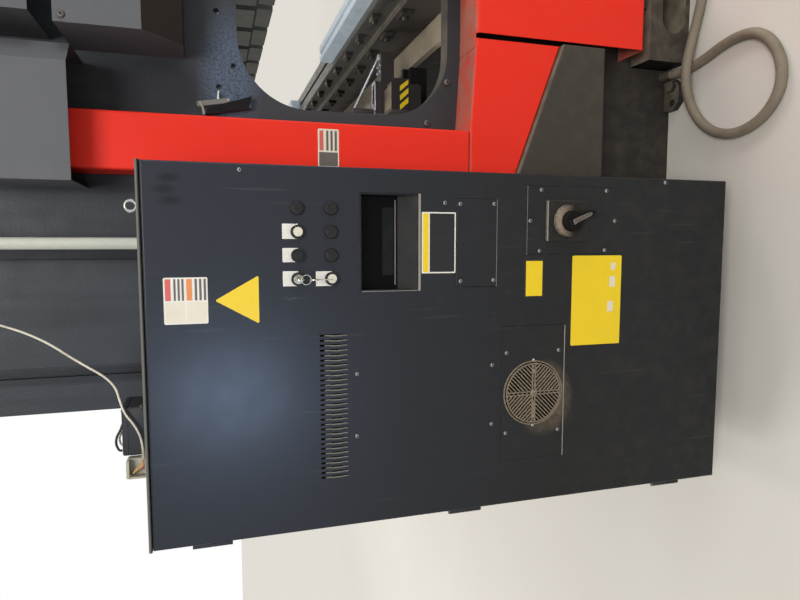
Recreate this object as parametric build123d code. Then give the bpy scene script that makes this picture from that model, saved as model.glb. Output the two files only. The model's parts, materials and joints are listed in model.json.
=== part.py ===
from build123d import *
import os
from math import atan2, cos, degrees, hypot, pi, radians, sin, tan

# CNC press brake, seen from the side that carries its electrical cabinet. Millimetres.
# X runs along the bending line, from the cabinet's side to the far side, and is 0 at mid-length.
# Y is 0 on the bending line: the operator stands at -Y and the back gauge is at +Y. Z is 0 on the floor.
# Every piece is modelled there, and main() moves the whole machine so that the middle of its
# bounding box, at floor level, is the origin.

# Fits
RUNNING = 0.05            # radial clearance of a shaft in its bore
SEAT = 0.3                # gap between faces that slide on each other
PANEL_GAP = 0.6           # gap round a panel set into a sheet

# Folded sheet
SHEET = 3.0
BEND = 6.0                # outside radius of a fold

# Side frames
FRAME_SPAN = 2766.0       # over the outer faces of the two plates
PLATE = 50.0
FRAME_TOP = 2150.0
FRAME_REAR = 1178.0
JAW_FRONT = 67.0          # front edge of both jaws, on the rear face of the table
HEAD_FRONT = 125.0        # front edge beside the cylinders
HEAD_STEP = 1700.0        # height at which the front edge steps back for them
FOOT_FRONT = 223.0
FOOT_LIFT = 150.0
THROAT_DEPTH = 413.0
THROAT_FLOOR = 756.0
THROAT_ROOF = 1326.0
THROAT_CORNER = 178.0
PLATE_HOLE = 7.0
PLATE_HOLES = ((370.0, 1373.0), (316.0, 1336.0), (185.0, 1375.0))
COLUMN_GROOVES = (790.0, 1077.0)   # vertical grooves in the outer face of the column
GROOVE_WIDTH = 26.0
GROOVE_DEPTH = 14.0
GROOVE_BOTTOM = 1000.0
FRAME_OUT = FRAME_SPAN / 2
FRAME_IN = FRAME_OUT - PLATE

# Cross beams between the side frames
TIE_DEPTH = 140.0
TIE_HEIGHT = 150.0
TIE_WALL = 14.0
TIE_TOP = 2000.0
TIE_FRONTS = (580.0, 940.0)
LOW_TIE_FRONT = 900.0
LOW_TIE_WIDTH = 200.0
LOW_TIE_BOTTOM = 120.0

# Table
TABLE_HALF = FRAME_OUT + 57.0
TABLE_FRONT = -63.0
TABLE_TOP = 850.0
TABLE_EDGE = 6.0
BASE_HALF = TABLE_HALF + 16.0
BASE_FRONT = -100.0
BASE_REAR = 218.0
BASE_HEIGHT = 140.0
BASE_WALL = 12.0
BASE_SLOT_HEIGHT = 82.0
BASE_SLOT_LENGTH = 155.0
BASE_SLOT_MID = (57.0, 56.0)       # Y and Z of each end slot's middle
LEDGE_REAR = 148.0
LEDGE_TOP = 720.0
LEDGE_THICK = 20.0

# Die rail, dies and their clamps
RAIL_HALF = TABLE_HALF - 10.0
RAIL_WIDTH = 100.0
RAIL_HEIGHT = 65.0
RAIL_GROOVE = 16.0
RAIL_GROOVE_DEPTH = 14.0
RAIL_TOP = TABLE_TOP + RAIL_HEIGHT
DIE_LENGTH = 835.0
DIE_WIDTH = 60.0
DIE_HEIGHT = 48.0
DIE_V = 8.0               # half the mouth and the depth of the V
DIE_STARTS = (-FRAME_IN, 450.0)
TENON_GAP = 0.2
DIE_TOP = RAIL_TOP + DIE_HEIGHT
CLAMP_PITCH = 200.0
CLAMP_LENGTH = 44.0
CLAMP_HEIGHT = 24.0
CLAMP_DEPTH = 16.0
CLAMP_Z = 892.0
WEDGE_LENGTH = 60.0
WEDGE_HEIGHT = 34.0
WEDGE_DEPTH = 14.0
WEDGE_Z = 822.0
BOLT_FLATS = 17.0
BOLT_HEAD = 9.0

# Ram, tool holders and punch
STROKE = 140.0
RAM_HALF = TABLE_HALF
RAM_THICK = 80.0
RAM_BOTTOM = 1315.0
RAM_END_TOP = 1660.0
RAM_MID_HALF = FRAME_IN - 108.0    # the ends are lower outside this, under the cylinders
RAM_SHOULDER = 1950.0
RAM_TOP = 2080.0
RAM_TOP_HALF = RAM_MID_HALF - 225.0
HOLDER_LENGTH = 160.0
HOLDER_PITCH = 200.0
HOLDER_COUNT = 14
HOLDER_HEIGHT = 120.0
HOLDER_WIDTH = 60.0
JAW_WIDTH = 44.0
TANG_WIDTH = 15.0
TANG_HEIGHT = 30.0
PUNCH_START = 450.0
PUNCH_HEIGHT = 88.0
PUNCH_WIDTH = 26.0
GUIDE_BOTTOM = 1335.0
GUIDE_TOP = 1640.0
GUIDE_EDGE = 5.0
HOLDER_BOTTOM = RAM_BOTTOM - HOLDER_HEIGHT
PUNCH_TIP = HOLDER_BOTTOM - PUNCH_HEIGHT

# Cylinders
CYLINDER_X = FRAME_OUT - PLATE / 2
CYLINDER_BOTTOM = 1770.0
CYLINDER_TOP = 2130.0
CYLINDER_RADIUS = 100.0
CYLINDER_BORE = 75.0
CYLINDER_CAP = 22.0
GLAND_RADIUS = 120.0
GLAND_HEIGHT = 30.0
ROD_CLEAR = 2.0           # between a rod and the plane of the ram's faces, where the guide pads stand
ROD_RADIUS = RAM_THICK / 2 - ROD_CLEAR
PISTON_Z = 1990.0
PISTON_HEIGHT = 50.0
ROD_FLANGE_RADIUS = 70.0
ROD_FLANGE = 30.0
MOUNT_HALF = 130.0
MOUNT_BOTTOM = 1800.0
MOUNT_DEPTH = 65.0

# Side covers
COVER_SPAN = FRAME_SPAN + 234.0    # over the red covers at the table's ends
SIDE_FACE = FRAME_OUT + 112.0      # outer face of the red side covers
STRIP_FRONT = 464.0
STRIP_REAR = 596.0
STRIP_HIDDEN = 40.0       # length of the strip inside the head cover
SHELF_TOP = 731.0
SHELF_DROP = 15.0         # fall of the shelf from the strip to its front edge
SHELF_FRONT = 220.0
SHELF_LOW_FRONT = 464.0   # height of the sloping lower edge, front and rear
SHELF_LOW_REAR = 603.0
SEAM = 2.0
GUARD_FACE = SIDE_FACE + 14.0
GUARD_FRONT = 218.0
GUARD_BOTTOM = 328.0
END_REAR = 209.0
SKIRT_FRONT = -130.0
SKIRT_BOTTOM = 193.0
SKIRT_TOP = 717.0
END_RETURN = 58.0         # depth of the end cover's return beside the table
TOP_BEND = 12.0

# Covers of the head
HEAD_FACE = FRAME_OUT + 195.0
HEAD_REAR_Y = 631.0
HEAD_FLAT_FRONT = 385.0
HEAD_BEVEL = 48.0
HEAD_BOTTOM = 1681.0
HEAD_TOP = 2120.0
RAM_COVER_REAR = 308.0
RAM_COVER_FRONT = 75.0
RAM_COVER_TOP = 1702.0
RAM_COVER_BOTTOM = 1452.0
RAM_COVER_CHAMFER = 80.0
CYL_COVER_REAR = 290.0
CYL_COVER_FRONT = -150.0
CYL_COVER_INNER = FRAME_IN - 133.0
CYL_COVER_RETURN = -62.0
CYL_COVER_BOTTOM = 1747.0
CYL_COVER_TOP = 2150.0
SWITCH_PLACE = (422.0, 1351.0)     # Y and Z of the position switch's middle
SWITCH_TILT = -15.5
SWITCH_DEPTH = 26.0
SWITCH_HEIGHT = 108.0
SWITCH_WIDTHS = (15.0, 29.0)       # at its top and at its foot
SWITCH_PLATE = (46.0, 62.0, 4.0)
SWITCH_PLATE_SIDE = 18.0           # from the switch's middle to the plate's

# Hydraulic unit
TANK_HALF = 450.0
TANK_FRONT = 600.0
TANK_REAR = 1060.0
TANK_HEIGHT = 250.0
TANK_EDGE = 12.0
LID_HEIGHT = 12.0
LID_RIM = 14.0
MOTOR_RADIUS = 100.0
MOTOR_LENGTH = 330.0
MOTOR_FIN = 8.0
MOTOR_FINS = 20
MOTOR_Y = 830.0
BELL_LENGTH = 90.0
BELL_RADIUS = 75.0
VALVE_BLOCK = (220.0, 90.0, 110.0)
VALVE_RISE = 150.0        # middle of the valve block above the cross beams, at least
CAP_RISE = 20.0           # and above the cylinders' caps, at least
VALVE_Z = max(TIE_TOP + VALVE_RISE, CYLINDER_TOP + CAP_RISE)
PIPE_RADIUS = 14.0
PIPE_BEND = 70.0
PIPE_Z = VALVE_Z + 40.0
PIPE_X = CYLINDER_X - 68.0

# Back gauge
GUIDE_X = 900.0
GAUGE_BEAM_WIDTH = 80.0
GAUGE_BEAM_DEPTH = 60.0
GAUGE_RAIL_END = 1080.0
GUIDE_WIDTH = 20.0
GUIDE_HEIGHT = 18.0
POST_Y = 960.0
CARRIAGE_LENGTH = 120.0
CARRIAGE_WIDTH = 90.0
CARRIAGE_TOP = 745.0
TOWER_WIDTH = 60.0
TOWER_DEPTH = 36.0
TOWER_TOP = 985.0
CROSS_HALF = FRAME_IN - 205.0
CROSS_FRONT = 256.0
CROSS_DEPTH = 83.0
CROSS_HEIGHT = 100.0
CROSS_RAIL_WIDTH = 20.0
CROSS_RAIL_PROUD = 12.0
CROSS_RAIL_DROP = 20.0    # middle of the rail below the crossbeam's top
FINGER_X = CROSS_HALF - 102.0
FINGER_WIDTH = 44.0
FINGER_TIP_Y = 137.0
FINGER_HEAD_DROP = 33.0   # foot of the head below the crossbeam's top
FINGER_HEAD_RISE = 12.0
FINGER_SADDLE_RISE = 17.0
FINGER_BAR = 15.0
FINGER_BAR_FRONT = 232.0
FINGER_SLOT = 12.0
FINGER_ARM_RISE = 103.0   # upper end of the sloping arm above the crossbeam's top
FINGER_ARM_DEPTH = 30.0
FINGER_ARM_THICK = 12.0
FINGER_POST = 22.0
SCREW_X = GUIDE_X - 65.0
SCREW_Z = 690.0
SCREW_RADIUS = 12.5
JOURNAL_RADIUS = 10.0
BEARING_DEPTH = 30.0
BEARING_HEIGHT = 50.0
NUT_RADIUS = 24.0
NUT_LENGTH = 44.0
SERVO_SIZE = 72.0
SERVO_LENGTH = 90.0

# Electrical cabinet
CABINET_FACE = -FRAME_OUT - 345.0
CABINET_FRONT = 600.0     # the side towards the operator
CABINET_WIDTH = 800.0
CABINET_DEPTH = 300.0
CABINET_BOTTOM = 100.0
CABINET_TOP = 1534.0
ROOF_HEIGHT = 7.0
ROOF_LIP = 3.0
DOOR_DEPTH = 25.0
DOOR_GAP = 1.0
SHELL_WALL = 3.0
MOUTH_LIP = 22.0
CABINET_REAR = CABINET_FRONT + CABINET_WIDTH
CABINET_BACK = CABINET_FACE + CABINET_DEPTH
SHELL_FRONT = CABINET_FACE + DOOR_DEPTH + DOOR_GAP
ROOF_TOP = CABINET_TOP + ROOF_HEIGHT
BRACKET_ZS = (330.0, 1280.0)
BRACKET_HEIGHT = 60.0
BRACKET_YS = (640.0, 1140.0)

# Hinges of the cabinet door
HINGE_X = CABINET_FACE + 14.0
HINGE_Y = CABINET_REAR + 6.0
HINGE_ZS = (251.0, 833.0, 1415.0)
HINGE_HEIGHT = 82.0
KNUCKLE_RADIUS = 5.6
HINGE_PIN = 3.0
LEAF = 3.0

# Openings in the door. Each Y is a distance from the cabinet's operator side.
VENT_COUNT = 30
VENT_FIRST = 364.0
VENT_PITCH = 10.95
VENT_SLOT = (4.6, 61.0)
VENT_Z = 1151.5
FAN_CENTRE = (525.0, 662.0)
FAN_HOLE = 77.0
FAN_PANEL = ((361.0, 690.0), (576.0, 747.0))
SWITCH_PANEL = ((28.0, 190.0), (436.0, 686.0))
BLANK_PANEL = ((62.0, 264.0), (763.0, 865.0))
PANEL_PROUD = 1.0
WINDOW = ((54.0, 271.0), (953.0, 1092.0))
WINDOW_SILL = 998.0
WINDOW_DEPTH = 36.0
BUTTON_YS = (240.0, 190.0, 140.0, 90.0)
BUTTON_ROWS = (1227.0, 1155.0)
BEZEL_RADIUS = 14.5
BEZEL_HEIGHT = 8.0
COLLAR_RADIUS = 11.0
COLLAR_LENGTH = 16.0
BUTTON_RADIUS = 10.0
BUTTON_PROUD = 5.0
BUTTON_EDGE = 1.5
BUTTON_TRAVEL = 4.0
BUTTON_PLAY = 2.0         # left behind the plunger when it is pressed home
CONTACT_SIZE = 28.0
CONTACT_DEPTH = 30.0

# Fan
FAN_FRAME = 166.0
FAN_FRAME_DEPTH = 38.0
FAN_BORE = 77.0
FAN_BLADES = 7
FAN_BLADE_RADIUS = 74.0
FAN_HUB = 32.0
FAN_HUB_DEPTH = 24.0
FAN_HUB_EDGE = 3.0
FAN_SHAFT = 4.0
FAN_SHAFT_GAP = 1.0       # beyond the shaft's end, in the hub's bore
FAN_STRUT = 8.0           # width of the struts and depth of the motor boss
FAN_STRUT_DEPTH = 5.0
FAN_CHORDS = (19.0, 26.0)          # of a blade at the hub and at its tip
FAN_PITCH = 28.0
FAN_TWIST = 32.0
FAN_SWEEP = 9.0
FAN_BLADE_THICK = 2.4
FAN_BLADE_ROOT = 4.0      # depth of a blade's root inside the hub
GUARD_RADIUS = 83.5
GUARD_RIM = 5.0
GUARD_DEPTH = 4.0
GUARD_CROSS = 9.0
GUARD_BAR = 3.2
GUARD_PITCH = 8.0

# Rotary disconnect
DISCONNECT = (110.0, 577.0)
DISCONNECT_PLATE = (100.0, 118.0, 5.0)
DIAL_RADIUS = 40.0
DIAL_HEIGHT = 11.0
HANDLE_HUB = 24.0
HANDLE_HUB_HEIGHT = 16.0
HANDLE_LENGTH = 54.0
HANDLE_WIDTH = 17.0
HANDLE_HEIGHT = 30.0
HANDLE_EDGE = 4.0
HANDLE_TAPER = 0.76       # width of the lever's end, as a share of its root
HANDLE_ANGLE = 24.0      # the lever's lean from straight down, towards the operator

# Key switch
BARREL_PROUD = 1.0
KEY_STEM = 14.0
KEY_BLADE = 8.5
KEY_BOW = 11.0
KEY_THICK = 2.2
KEY_HOLE = 3.5
KEY_RIM = 2.5             # metal between the key's hole and its edge
KEY_RING = 10.0
KEY_WIRE = 1.0
KEY_LENGTH = 38.0

# On the cabinet's roof
CONDUIT_X = CABINET_FACE + 200.0
CONDUIT_Y = CABINET_FRONT + 164.0
CONDUIT_RADIUS = 13.3
CONDUIT_BORE = 11.8
CONDUIT_TOP = 2290.0
COUPLING_RADIUS = 18.0
COUPLING_LENGTH = 44.0
COUPLING_SOCKET = 22.0
COUPLING_BORE = 13.4
LOCKNUT_RADIUS = 24.0
LOCKNUT_HEIGHT = 11.0
EYE_X = CABINET_FACE + 90.0
EYE_Y = CABINET_FRONT + 86.0
EYE_RADIUS = 11.0
EYE_WIRE = 3.4
EYE_COLLAR = 10.0
EYE_COLLAR_HEIGHT = 6.0
JUNCTION = ((CABINET_FACE + 60.0, CABINET_FACE + 160.0), (1106.0, 1211.0), 52.0)
GLAND_BOX = ((CABINET_FACE + 38.0, CABINET_FACE + 80.0), (1216.0, 1254.0), 42.0)

# Inside the cabinet
PLATE_STANDOFF = 16.0
MOUNT_PLATE = ((40.0, 760.0), (150.0, 1480.0), 3.0)
STUD_IN = 30.0
STUD_RADIUS = 6.0
DRIVE_SIZE = (150.0, 100.0, 300.0)
DRIVE_STARTS = (420.0, 530.0, 640.0)
DRIVE_Z = 1130.0
DUCT_SIZE = (60.0, 40.0)
DUCT_ZS = (190.0, 560.0, 1060.0)
CONTACTOR_SIZE = (90.0, 52.0, 84.0)
CONTACTOR_COUNT = 6
CONTACTOR_START = 400.0
CONTACTOR_PITCH = 56.0
CONTACTOR_Z = 900.0
TRANSFORMER = (130.0, 190.0, 160.0)
TRANSFORMER_Y = 520.0
TRANSFORMER_Z = 260.0
BREAKER_SIZE = (74.0, 100.0, 150.0)
BREAKER_Y = 200.0
BREAKER_Z = 250.0

# Anchor lugs at the feet of the side frames
LUG_LENGTH = 92.0
LUG_WIDTH = 62.0
LUG_THICK = 20.0
LUG_CORNER = 22.0
LUG_YS = (304.0, 1110.0)
ANCHOR_RADIUS = 11.0
ANCHOR_SPACING = 50.0
ANCHOR_IN = 27.0          # hole centre from the lug's outer edge
LEVEL_FLATS = 30.0
LEVEL_HEIGHT = 13.0

# Cords. Each point is given by its distance out from the left frame's outer face, its Y and its Z.
CORD_RADIUS = 14.0
GLAND_WALL = 4.0
CORD_POINTS = (
    (8.0, 243.0, 25.0), (41.0, 243.0, 25.0), (81.0, 244.0, 14.0), (155.0, 230.0, 14.0),
    (221.0, 209.0, 14.0), (282.0, 201.0, 14.0), (334.0, 209.0, 14.0), (380.0, 242.0, 14.0),
    (412.0, 298.0, 14.0), (419.0, 358.0, 14.0), (398.0, 406.0, 14.0), (355.0, 444.0, 14.0),
    (288.0, 464.0, 14.0), (215.0, 453.0, 14.0), (153.0, 413.0, 14.0), (124.0, 361.0, 26.0),
    (119.0, 306.0, 43.0), (118.0, 250.0, 46.0), (116.0, 196.0, 34.0), (116.0, 133.0, 17.0),
    (137.0, 57.0, 14.0), (143.0, -30.0, 14.0), (137.0, -110.0, 14.0), (126.0, -190.0, 16.0),
    (121.0, -258.0, 25.0), (121.0, -306.0, 25.0),
)
CORD_ROUTE = [(-FRAME_OUT - out, y, z) for out, y, z in CORD_POINTS]
SIGNAL_RADIUS = 2.2
SIGNAL_POINTS = (
    (294.0, 1216.0, 1550.0), (294.0, 1180.0, 1550.0), (295.0, 1143.0, 1564.0),
    (294.0, 1118.0, 1583.0), (290.0, 1090.0, 1592.0), (284.0, 1063.0, 1599.0),
    (276.0, 1040.0, 1620.0), (265.0, 1020.0, 1654.0), (251.0, 998.0, 1690.0),
    (233.0, 975.0, 1726.0), (211.0, 957.0, 1766.0), (184.0, 946.0, 1804.0),
    (153.0, 938.0, 1844.0), (119.0, 934.0, 1882.0), (85.0, 930.0, 1918.0),
    (53.0, 930.0, 1940.0), (18.0, 930.0, 1940.0),
)
SIGNAL_ROUTE = [(-FRAME_OUT - out, y, z) for out, y, z in SIGNAL_POINTS]
CLIP_SIZE = (18.0, 22.0, 26.0)

# Foot pedal at the cord's far end
PEDAL_X = CORD_ROUTE[-1][0]
PEDAL_REAR = -322.0
PEDAL_LENGTH = 230.0
PEDAL_WIDTH = 170.0
PEDAL_HEIGHT = 132.0
PEDAL_SHOULDER = 82.0     # height of the case's upright rear wall
PEDAL_WALL = 10.0
PEDAL_NOSE = 60.0
TREADLE_PIVOT = (-372.0, 62.0)
TREADLE_LENGTH = 150.0
TREADLE_THICK = 9.0
TREADLE_PIN = 4.0
TREADLE_BOSS = 8.0
GLAND_STUB = (18.0, 16.0)

# Operator's pendant
PENDANT_X = FRAME_OUT - PLATE / 2
PIVOT_Y = 400.0
PIVOT_RADIUS = 25.0
SOCKET_RADIUS = 38.0
SOCKET_HEIGHT = 90.0
ARM_SIZE = 60.0
ARM_Z = 2245.0
ARM_REACH = 920.0
DROP_RADIUS = 24.0
PENDANT_TOP = 1650.0
PENDANT_HEIGHT = 370.0
PENDANT_WIDTH = 420.0
PENDANT_DEPTH = 110.0
PENDANT_EDGE = 14.0
SCREEN = (270.0, 190.0, 4.0)
PENDANT_PIN = 14.0
STOP_RADIUS = 18.0
STOP_STEM = 8.0
STOP_TRAVEL = 5.0
STOP_PLACE = (165.0, 1340.0)


# Helpers

def block(xs, ys, zs):
    """A box between the low and high ends given for each axis."""
    size = [high - low for low, high in (xs, ys, zs)]
    middle = [(high + low) / 2 for low, high in (xs, ys, zs)]
    return Pos(*middle) * Box(*size)


def around(middle, size):
    """The low and high ends of a length about its middle."""
    return (middle - size / 2, middle + size / 2)


def prism_x(points, x0, x1):
    """A prism along X over a (Y, Z) outline."""
    face = make_face(Plane.YZ.offset(x0) * Polyline(*points, close=True))
    return extrude(face, amount=x1 - x0, dir=(1, 0, 0))


def prism_y(points, y0, y1):
    """A prism along Y over an (X, Z) outline."""
    outline = Polyline(*[(x, y0, z) for x, z in points], close=True)
    return extrude(make_face(outline), amount=y1 - y0, dir=(0, 1, 0))


def prism_z(points, z0, z1):
    """A prism along Z over an (X, Y) outline."""
    face = make_face(Pos(0, 0, z0) * Polyline(*points, close=True))
    return extrude(face, amount=z1 - z0, dir=(0, 0, 1))


def rod(start, end, radius):
    """A cylinder from one point to another."""
    way = Vector(*end) - Vector(*start)
    foot = Plane(origin=start, z_dir=way)
    return extrude(foot * Circle(radius), amount=way.length)


def hex_head(start, end, flats):
    """A hexagonal head or knob from one point to another."""
    way = Vector(*end) - Vector(*start)
    foot = Plane(origin=start, z_dir=way)
    return extrude(foot * RegularPolygon(flats / 2, 6, major_radius=False), amount=way.length)


def group(*shapes):
    """Separate solids that share one node."""
    return Compound([solid for shape in shapes for solid in shape.solids()])


def pair(left):
    """A piece of the left side with its mirror image on the right."""
    return group(left, mirror(left, about=Plane.YZ))


def pan_x(points, x_face, x_back, bend=BEND):
    """A folded cover of the left side: a face at x_face whose returns run to x_back."""
    outer = prism_x(points, x_face, x_back)
    outer = fillet(outer.faces().sort_by(Axis.X)[0].edges(), bend)
    face = make_face(Plane.YZ.offset(x_face + SHEET) * Polyline(*points, close=True))
    inner = extrude(offset(face, -SHEET, kind=Kind.INTERSECTION), amount=x_back - x_face, dir=(1, 0, 0))
    inner = fillet(inner.faces().sort_by(Axis.X)[0].edges(), bend - SHEET)
    return outer - inner


def path_radii(points):
    """The arc radius at each inner point of a route, as large as its two runs allow."""
    radii = []
    for a, b, c in zip(points, points[1:], points[2:]):
        run_in = Vector(*b) - Vector(*a)
        run_out = Vector(*c) - Vector(*b)
        turn = radians(run_in.get_angle(run_out))
        radii.append(0.45 * min(run_in.length, run_out.length) / tan(turn / 2))
    return radii


def tube(points, radius, radii=None):
    """A round cord or pipe along straight runs joined by tangent arcs."""
    radii = radii or path_radii(points)
    path = FilletPolyline(*points, radius=radii)
    start = Plane(origin=path @ 0, z_dir=path % 0)
    return sweep(start * Circle(radius), path=path)


# Frame and table

def side_frame():
    """The C-shaped plate of the left side."""
    outline = [
        (FOOT_FRONT, 0), (FRAME_REAR, 0), (FRAME_REAR, FRAME_TOP), (HEAD_FRONT, FRAME_TOP),
        (HEAD_FRONT, HEAD_STEP), (JAW_FRONT, HEAD_STEP), (JAW_FRONT, FOOT_LIFT), (FOOT_FRONT, FOOT_LIFT),
    ]
    plate = prism_x(outline, -FRAME_OUT, -FRAME_IN)
    throat = block((-FRAME_OUT, -FRAME_IN), (-THROAT_DEPTH, THROAT_DEPTH), (THROAT_FLOOR, THROAT_ROOF))
    throat = fillet(throat.edges().filter_by(Axis.X).group_by(Axis.Y)[-1], THROAT_CORNER)
    plate -= throat
    for y, z in PLATE_HOLES:
        plate -= rod((-FRAME_OUT, y, z), (-FRAME_IN, y, z), PLATE_HOLE)
    for y in COLUMN_GROOVES:
        plate -= block(
            (-FRAME_OUT, -FRAME_OUT + GROOVE_DEPTH), around(y, GROOVE_WIDTH), (GROOVE_BOTTOM, FRAME_TOP)
        )
    return plate


def box_tube(ys, zs, wall):
    """A rectangular tube between the side frames."""
    outer = block((-FRAME_IN, FRAME_IN), ys, zs)
    outer = fillet(outer.edges().filter_by(Axis.X), wall)
    hollow = block((-FRAME_IN, FRAME_IN), (ys[0] + wall, ys[1] - wall), (zs[0] + wall, zs[1] - wall))
    return outer - hollow


def tie_beams():
    """Two upper cross beams, which carry the hydraulic unit, and a low one at the rear."""
    upper = [box_tube((y, y + TIE_DEPTH), (TIE_TOP - TIE_HEIGHT, TIE_TOP), TIE_WALL) for y in TIE_FRONTS]
    low_ys = (LOW_TIE_FRONT, LOW_TIE_FRONT + LOW_TIE_WIDTH)
    low_zs = (LOW_TIE_BOTTOM, LOW_TIE_BOTTOM + LOW_TIE_WIDTH)
    return group(*upper, box_tube(low_ys, low_zs, TIE_WALL))


def bed_beam():
    """The upright table plate, which stands on the base beam."""
    bed = block((-TABLE_HALF, TABLE_HALF), (TABLE_FRONT, JAW_FRONT), (BASE_HEIGHT, TABLE_TOP))
    return chamfer(bed.faces().sort_by(Axis.Z)[-1].edges().filter_by(Axis.X), TABLE_EDGE)


def base_beam():
    """The hollow base under the table, with an oblong slot in each end."""
    ys, zs = (BASE_FRONT, BASE_REAR), (0, BASE_HEIGHT)
    outer = block((-BASE_HALF, BASE_HALF), ys, zs)
    inner = block(
        (-BASE_HALF + BASE_WALL, BASE_HALF - BASE_WALL),
        (ys[0] + BASE_WALL, ys[1] - BASE_WALL), (zs[0] + BASE_WALL, zs[1] - BASE_WALL),
    )
    slot = Plane.YZ.offset(-BASE_HALF) * Pos(*BASE_SLOT_MID) * SlotOverall(BASE_SLOT_LENGTH, BASE_SLOT_HEIGHT)
    return outer - inner - extrude(slot, amount=2 * BASE_HALF, dir=(1, 0, 0))


def rear_ledge():
    """The flat bar behind the table that the gauge rails meet."""
    return block((-FRAME_IN, FRAME_IN), (JAW_FRONT, LEDGE_REAR), (LEDGE_TOP - LEDGE_THICK, LEDGE_TOP))


def anchor_lugs():
    """Four lugs on the floor, each with a levelling bolt and a free anchor hole, and the cord's collar."""
    pieces = []
    outer = -FRAME_OUT - LUG_WIDTH
    for y in LUG_YS:
        lug = block((outer, -FRAME_OUT), around(y, LUG_LENGTH), (0, LUG_THICK))
        lug = chamfer(lug.edges().filter_by(Axis.Z).group_by(Axis.X)[0], LUG_CORNER)
        bolt_y, hole_y = y - ANCHOR_SPACING / 2, y + ANCHOR_SPACING / 2
        x = outer + ANCHOR_IN
        lug -= rod((x, hole_y, 0), (x, hole_y, LUG_THICK), ANCHOR_RADIUS)
        head = hex_head((x, bolt_y, LUG_THICK), (x, bolt_y, LUG_THICK + LEVEL_HEIGHT), LEVEL_FLATS)
        pieces += [lug, head]
    start = CORD_ROUTE[0]
    collar = rod((-FRAME_OUT, start[1], start[2]), start, CORD_RADIUS + GLAND_WALL)
    return group(pair(group(*pieces)), collar)


# Covers

def column_covers():
    """The red strips over the columns, from the shelf up into the head covers."""
    outline = [
        (STRIP_FRONT, SHELF_TOP + SEAM), (STRIP_REAR, SHELF_TOP + SEAM),
        (STRIP_REAR, HEAD_BOTTOM + STRIP_HIDDEN), (STRIP_FRONT, HEAD_BOTTOM + STRIP_HIDDEN),
    ]
    return pair(pan_x(outline, -SIDE_FACE, -FRAME_OUT))


def side_covers():
    """The red covers below the strips, with a falling shelf on top and a sloping lower edge."""
    outline = [
        (SHELF_FRONT, SHELF_LOW_FRONT), (STRIP_REAR, SHELF_LOW_REAR), (STRIP_REAR, SHELF_TOP),
        (STRIP_FRONT, SHELF_TOP), (SHELF_FRONT, SHELF_TOP - SHELF_DROP),
    ]
    return pair(pan_x(outline, -SIDE_FACE, -FRAME_OUT))


def lower_guards():
    """The dark guards under the red side covers and a little proud of them."""
    outline = [
        (GUARD_FRONT, GUARD_BOTTOM), (STRIP_REAR, GUARD_BOTTOM),
        (STRIP_REAR, SHELF_LOW_REAR - SEAM), (GUARD_FRONT, SHELF_LOW_FRONT - 2 * SEAM),
    ]
    return pair(pan_x(outline, -GUARD_FACE, -FRAME_OUT))


def end_covers():
    """The red covers at the table's two ends, each open at its rear edge."""
    face = -COVER_SPAN / 2
    past = END_REAR + 2 * TOP_BEND
    outline = [(SKIRT_FRONT, SKIRT_BOTTOM), (past, SKIRT_BOTTOM), (past, SKIRT_TOP), (SKIRT_FRONT, SKIRT_TOP)]
    cover = pan_x(outline, face, -FRAME_OUT, TOP_BEND)
    cover -= block((face, -FRAME_OUT), (END_REAR, past), (SKIRT_BOTTOM, SKIRT_TOP))
    table = block(
        (face + END_RETURN, 0), (SKIRT_FRONT - SHEET, JAW_FRONT + 2 * SHEET), (0, SKIRT_TOP + SHEET)
    )
    return pair(cover - table)


def front_skirt():
    """The long red panel across the front of the table, between the end covers."""
    half = COVER_SPAN / 2 - END_RETURN
    outer = block((-half, half), (SKIRT_FRONT, TABLE_FRONT), (SKIRT_BOTTOM, SKIRT_TOP))
    outer = fillet(outer.faces().sort_by(Axis.Y)[0].edges().filter_by(Axis.X), TOP_BEND)
    inner = block(
        (-half, half), (SKIRT_FRONT + SHEET, TABLE_FRONT), (SKIRT_BOTTOM + SHEET, SKIRT_TOP - SHEET)
    )
    inner = fillet(inner.faces().sort_by(Axis.Y)[0].edges().filter_by(Axis.X), TOP_BEND - SHEET)
    return outer - inner


def head_covers():
    """The grey covers beside the upper columns, bevelled towards the operator and open below."""
    bevel_front = HEAD_FLAT_FRONT - HEAD_BEVEL
    outline = [
        (-FRAME_OUT, HEAD_REAR_Y), (-HEAD_FACE, HEAD_REAR_Y), (-HEAD_FACE, HEAD_FLAT_FRONT),
        (-HEAD_FACE + HEAD_BEVEL, bevel_front), (-FRAME_OUT, bevel_front),
    ]
    inner = [
        (-FRAME_OUT, HEAD_REAR_Y - SHEET), (-HEAD_FACE + SHEET, HEAD_REAR_Y - SHEET),
        (-HEAD_FACE + SHEET, HEAD_FLAT_FRONT + SHEET / 2),
        (-HEAD_FACE + HEAD_BEVEL + SHEET / 2, bevel_front + SHEET), (-FRAME_OUT, bevel_front + SHEET),
    ]
    cover = prism_z(outline, HEAD_BOTTOM, HEAD_TOP)
    return pair(cover - prism_z(inner, HEAD_BOTTOM, HEAD_TOP - SHEET))


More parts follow.
